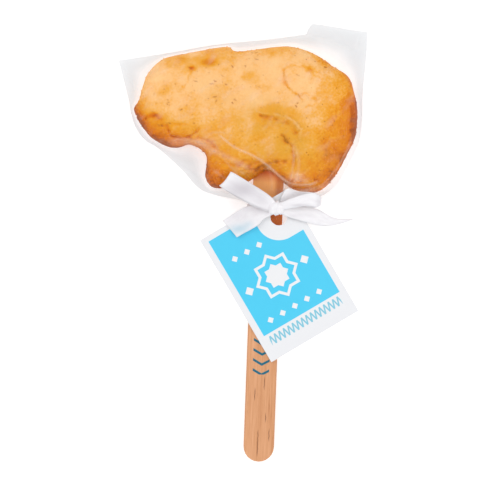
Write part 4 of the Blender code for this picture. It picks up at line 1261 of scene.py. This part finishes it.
# %% Card shape
TAG_LONG = 46.35
TAG_SHORT = 33.2
TAG_THICK = 0.35
TAG_TURN = math.radians(30.4)
TAG_CENTRE = Vector((11.9, -10.85))
TAG_HOLE = Vector((11.7, 8.4))
TAG_HOLE_R = 2.8
UV_SCALE = 50.0
STICK_CLEAR = 6.5


def card_height(xy):
    """Middle of the card: over the tied neck at the hole, and resting on the stick below it."""
    x, y = xy.T
    from_stick = x - STICK_FOOT[0] - (y - STICK_FOOT[1]) / math.tan(STICK_AIM)
    height = STICK_HIGH + 0.3 + TAG_THICK / 2 + 2.05 * ease((y + 9.0) / 17.0)
    height += 0.1 * (y - TAG_HOLE.y).clip(0.0, None)
    height -= 3.0 * ((from_stick - STICK_CLEAR).clip(0.0, None) / 28.0) ** 1.6
    return height - 1.3 * ((-STICK_CLEAR - from_stick).clip(0.0, None) / 18.0) ** 1.6


side_way = np.array((math.cos(TAG_TURN), math.sin(TAG_TURN)))
up_way = np.array((-side_way[1], side_way[0]))
hole_at = np.array(TAG_HOLE - TAG_CENTRE) @ np.column_stack([side_way, up_way])
half_card = np.array((TAG_SHORT, TAG_LONG)) / 2
corners = [half_card * way for way in ((-1, -1), (1, -1), (1, 1), (-1, 1), (-1, -1))]
card_region = Region(np.vstack([even_line(np.array(pair), 1.0)[:-1]
                                for pair in zip(corners, corners[1:])]))
turns = np.arange(40) * math.tau / 40
hole_loop = hole_at + np.column_stack([np.cos(turns), np.sin(turns)]) * TAG_HOLE_R
dots = card_region.grid(1.0, 0.5)
dots = dots[np.linalg.norm(dots - hole_at, axis=1) > TAG_HOLE_R + 0.4]
flat = [Vector(p) for p in (*card_region.loop, *hole_loop, *dots)]
n, m = len(card_region.loop), len(hole_loop)
edges = [(i, (i + 1) % n) for i in range(n)] + [(n + i, n + (i + 1) % m) for i in range(m)]
points, _, faces, *_ = delaunay_2d_cdt(flat, edges, [], 1, 1e-5)
points = np.array([tuple(p) for p in points])
spots = np.array(TAG_CENTRE) + points[:, :1] * side_way + points[:, 1:] * up_way

bm = bmesh.new()
uv = bm.loops.layers.uv.new("UVMap")
made = [bm.verts.new((*spot, h)) for spot, h in zip(spots, card_height(spots))]
for face in faces:
    middle = points[list(face)].mean(0)
    if np.linalg.norm(middle - hole_at) > TAG_HOLE_R * 0.98:
        new = bm.faces.new([made[i] for i in face])
        for loop, i in zip(new.loops, face):
            loop[uv].uv = points[i] / UV_SCALE + 0.5
bmesh.ops.recalc_face_normals(bm, faces=bm.faces)
if sum(f.normal.z for f in bm.faces) < 0:
    bmesh.ops.reverse_faces(bm, faces=bm.faces)
bmesh.ops.delete(bm, geom=[v for v in bm.verts if not v.link_faces], context="VERTS")
print("card points:", len(bm.verts))

# %% Card print
BLUR = 0.10
PAPER = linear(236, 236, 237)
FIELD_SIDE, FIELD_LOW, FIELD_TOP = 14.4, -14.6, 21.4
FIELD_FROM_HOLE, ROWS_FROM_HOLE = 7.6, 9.2
ROW_SIDE, STRIP_SIDE, STRIP_LOW = 11.6, 13.4, -18.6
STAR_X = -0.6
STAR_Y = 0.5
ROW_AWAY = 11.6
ROW_HEIGHT = 3.1
ZIG = 0.85

card, tree, shader = new_finish("printed_card", 0.5)
uv_map = add_node(tree, "ShaderNodeUVMap", {"uv_map": "UVMap"})
in_mm = add_node(tree, "ShaderNodeMapping", Vector=uv_map, Scale=(UV_SCALE, UV_SCALE, 1.0),
                 Location=(-UV_SCALE / 2, -UV_SCALE / 2, 0.0))
card_x, card_y = axes(tree, in_mm)

# The blue field stops short of the lower edge, and stays clear of the hole.
from_hole_x = (float(hole_at[0]) - card_x).most(0.0)
from_hole_y = (float(hole_at[1]) - card_y).most(0.0)
from_hole = (from_hole_x * from_hole_x + from_hole_y * from_hole_y).math("SQRT")
field = card_x.between(-FIELD_SIDE, FIELD_SIDE, BLUR) * card_y.between(FIELD_LOW, FIELD_TOP, BLUR)
field = field * from_hole.above(FIELD_FROM_HOLE, BLUR)

# An eight-pointed star is a square laid over the same square turned on its corner.
star_x, star_y = abs(card_x - STAR_X), abs(card_y - STAR_Y)
star_size = star_x.most(star_y).least((star_x + star_y) * math.sqrt(0.5))
star = star_size.below(5.6, BLUR) - star_size.below(4.7, BLUR) + star_size.below(3.0, BLUR)


def diamonds(across, up, size, pitch):
    """Diamonds in a row, a pitch apart, the first one at the middle of the row."""
    turned = (across + pitch / 2).math("WRAP", pitch, 0.0) - pitch / 2
    return (abs(turned) + abs(up)).below(size, BLUR)


rows = diamonds(card_x - STAR_X, star_y - ROW_AWAY, 1.15, 4.6)
rows = rows * card_x.between(STAR_X - ROW_SIDE, STAR_X + ROW_SIDE, BLUR)
rows = rows * from_hole.above(ROWS_FROM_HOLE, BLUR)
sides = diamonds(star_x - 10.4, star_y, 1.6, 60.0)
motif = (star + rows + sides).least(1.0)

# A row of steep open triangles runs along the lower strip, close under the field.
zig = card_x.math("PINGPONG", ZIG) * (ROW_HEIGHT / ZIG)
strip_row = abs(zig - (card_y - STRIP_LOW)).below(0.95, 0.4)
strip_row = strip_row * card_x.between(-STRIP_SIDE, STRIP_SIDE, BLUR)
strip_row = strip_row * card_y.between(STRIP_LOW, STRIP_LOW + ROW_HEIGHT, BLUR)

paper = layered(tree, PAPER, (grain(tree, uv_map, 90.0, 4.0) * 0.5, linear(229, 229, 233)))
printed = layered(tree, paper, (field, linear(72, 203, 239)), (motif * field, PAPER),
                  (strip_row, linear(128, 198, 218)))
paint(tree, shader, layered(tree, paper, (surface_number(tree, "front"), printed)),
      grain(tree, uv_map, 420.0, 3.0), 0.00003)
print("card finish:", len(tree.nodes), "nodes")

# %% Build the card
tag = thicken(finished("printed_card", bm, card, smooth=False), TAG_THICK)
places = np.array([v.co for v in tag.data.vertices]) / MM
keep_number(tag, "front", places[:, 2] > card_height(places[:, :2]))
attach(tag, "root")
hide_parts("tag")
print(f"card: {len(tag.data.polygons)} faces")

# %% [markdown]
# ## Floor and light
# The object lies on a plain pale floor. A wide soft light stands over its upper left, and two
# weaker ones at its right and below it, so that the film's folds catch some gloss; the bright
# lines along them are mostly painted highlights in the film's finish. The sky light fills the rest.

# %% Floor and lights
FLOOR_HALF = 1500.0
FLOOR_GLOW = 0.50
LOOKED_AT = Vector((0.0, 0.02, 0.0))

paper_floor, tree, shader = new_finish("pale_floor", 0.9, 0.1)
paint(tree, shader, layered(tree, (0.70, 0.70, 0.70, 1.0),
                            (grain(tree, object_place(tree), 60.0), (0.72, 0.72, 0.72, 1.0))))
shader.inputs["Emission Color"].default_value = (1.0, 1.0, 1.0, 1.0)
shader.inputs["Emission Strength"].default_value = FLOOR_GLOW
bm = bmesh.new()
bmesh.ops.create_grid(bm, x_segments=2, y_segments=2, size=FLOOR_HALF)
floor = finished("floor", bm, paper_floor, smooth=False)


def soft_light(name, place, size, power):
    """A wide soft light that looks at the object."""
    data = bpy.data.lights.new(name, "AREA")
    data.shape = "RECTANGLE"
    data.size, data.size_y = size
    data.energy = power
    lamp = put(name, data, place)
    lamp.rotation_euler = (LOOKED_AT - Vector(place)).to_track_quat("-Z", "Y").to_euler()


soft_light("key_light", (-0.85, 0.75, 1.05), (1.1, 1.1), 9.0)
soft_light("right_light", (0.95, 0.10, 0.95), (1.0, 1.2), 6.0)
soft_light("low_light", (-0.10, -1.00, 1.00), (1.2, 1.0), 6.0)
world = bpy.data.worlds.new("studio")
world.use_nodes = True
sky = world.node_tree.nodes["Background"]
sky.inputs["Color"].default_value = (0.95, 0.97, 1.0, 1.0)
sky.inputs["Strength"].default_value = 0.50
bpy.context.scene.world = world
bpy.context.scene.view_settings.view_transform = "Standard"
print("lights: 3 soft ones and the sky")
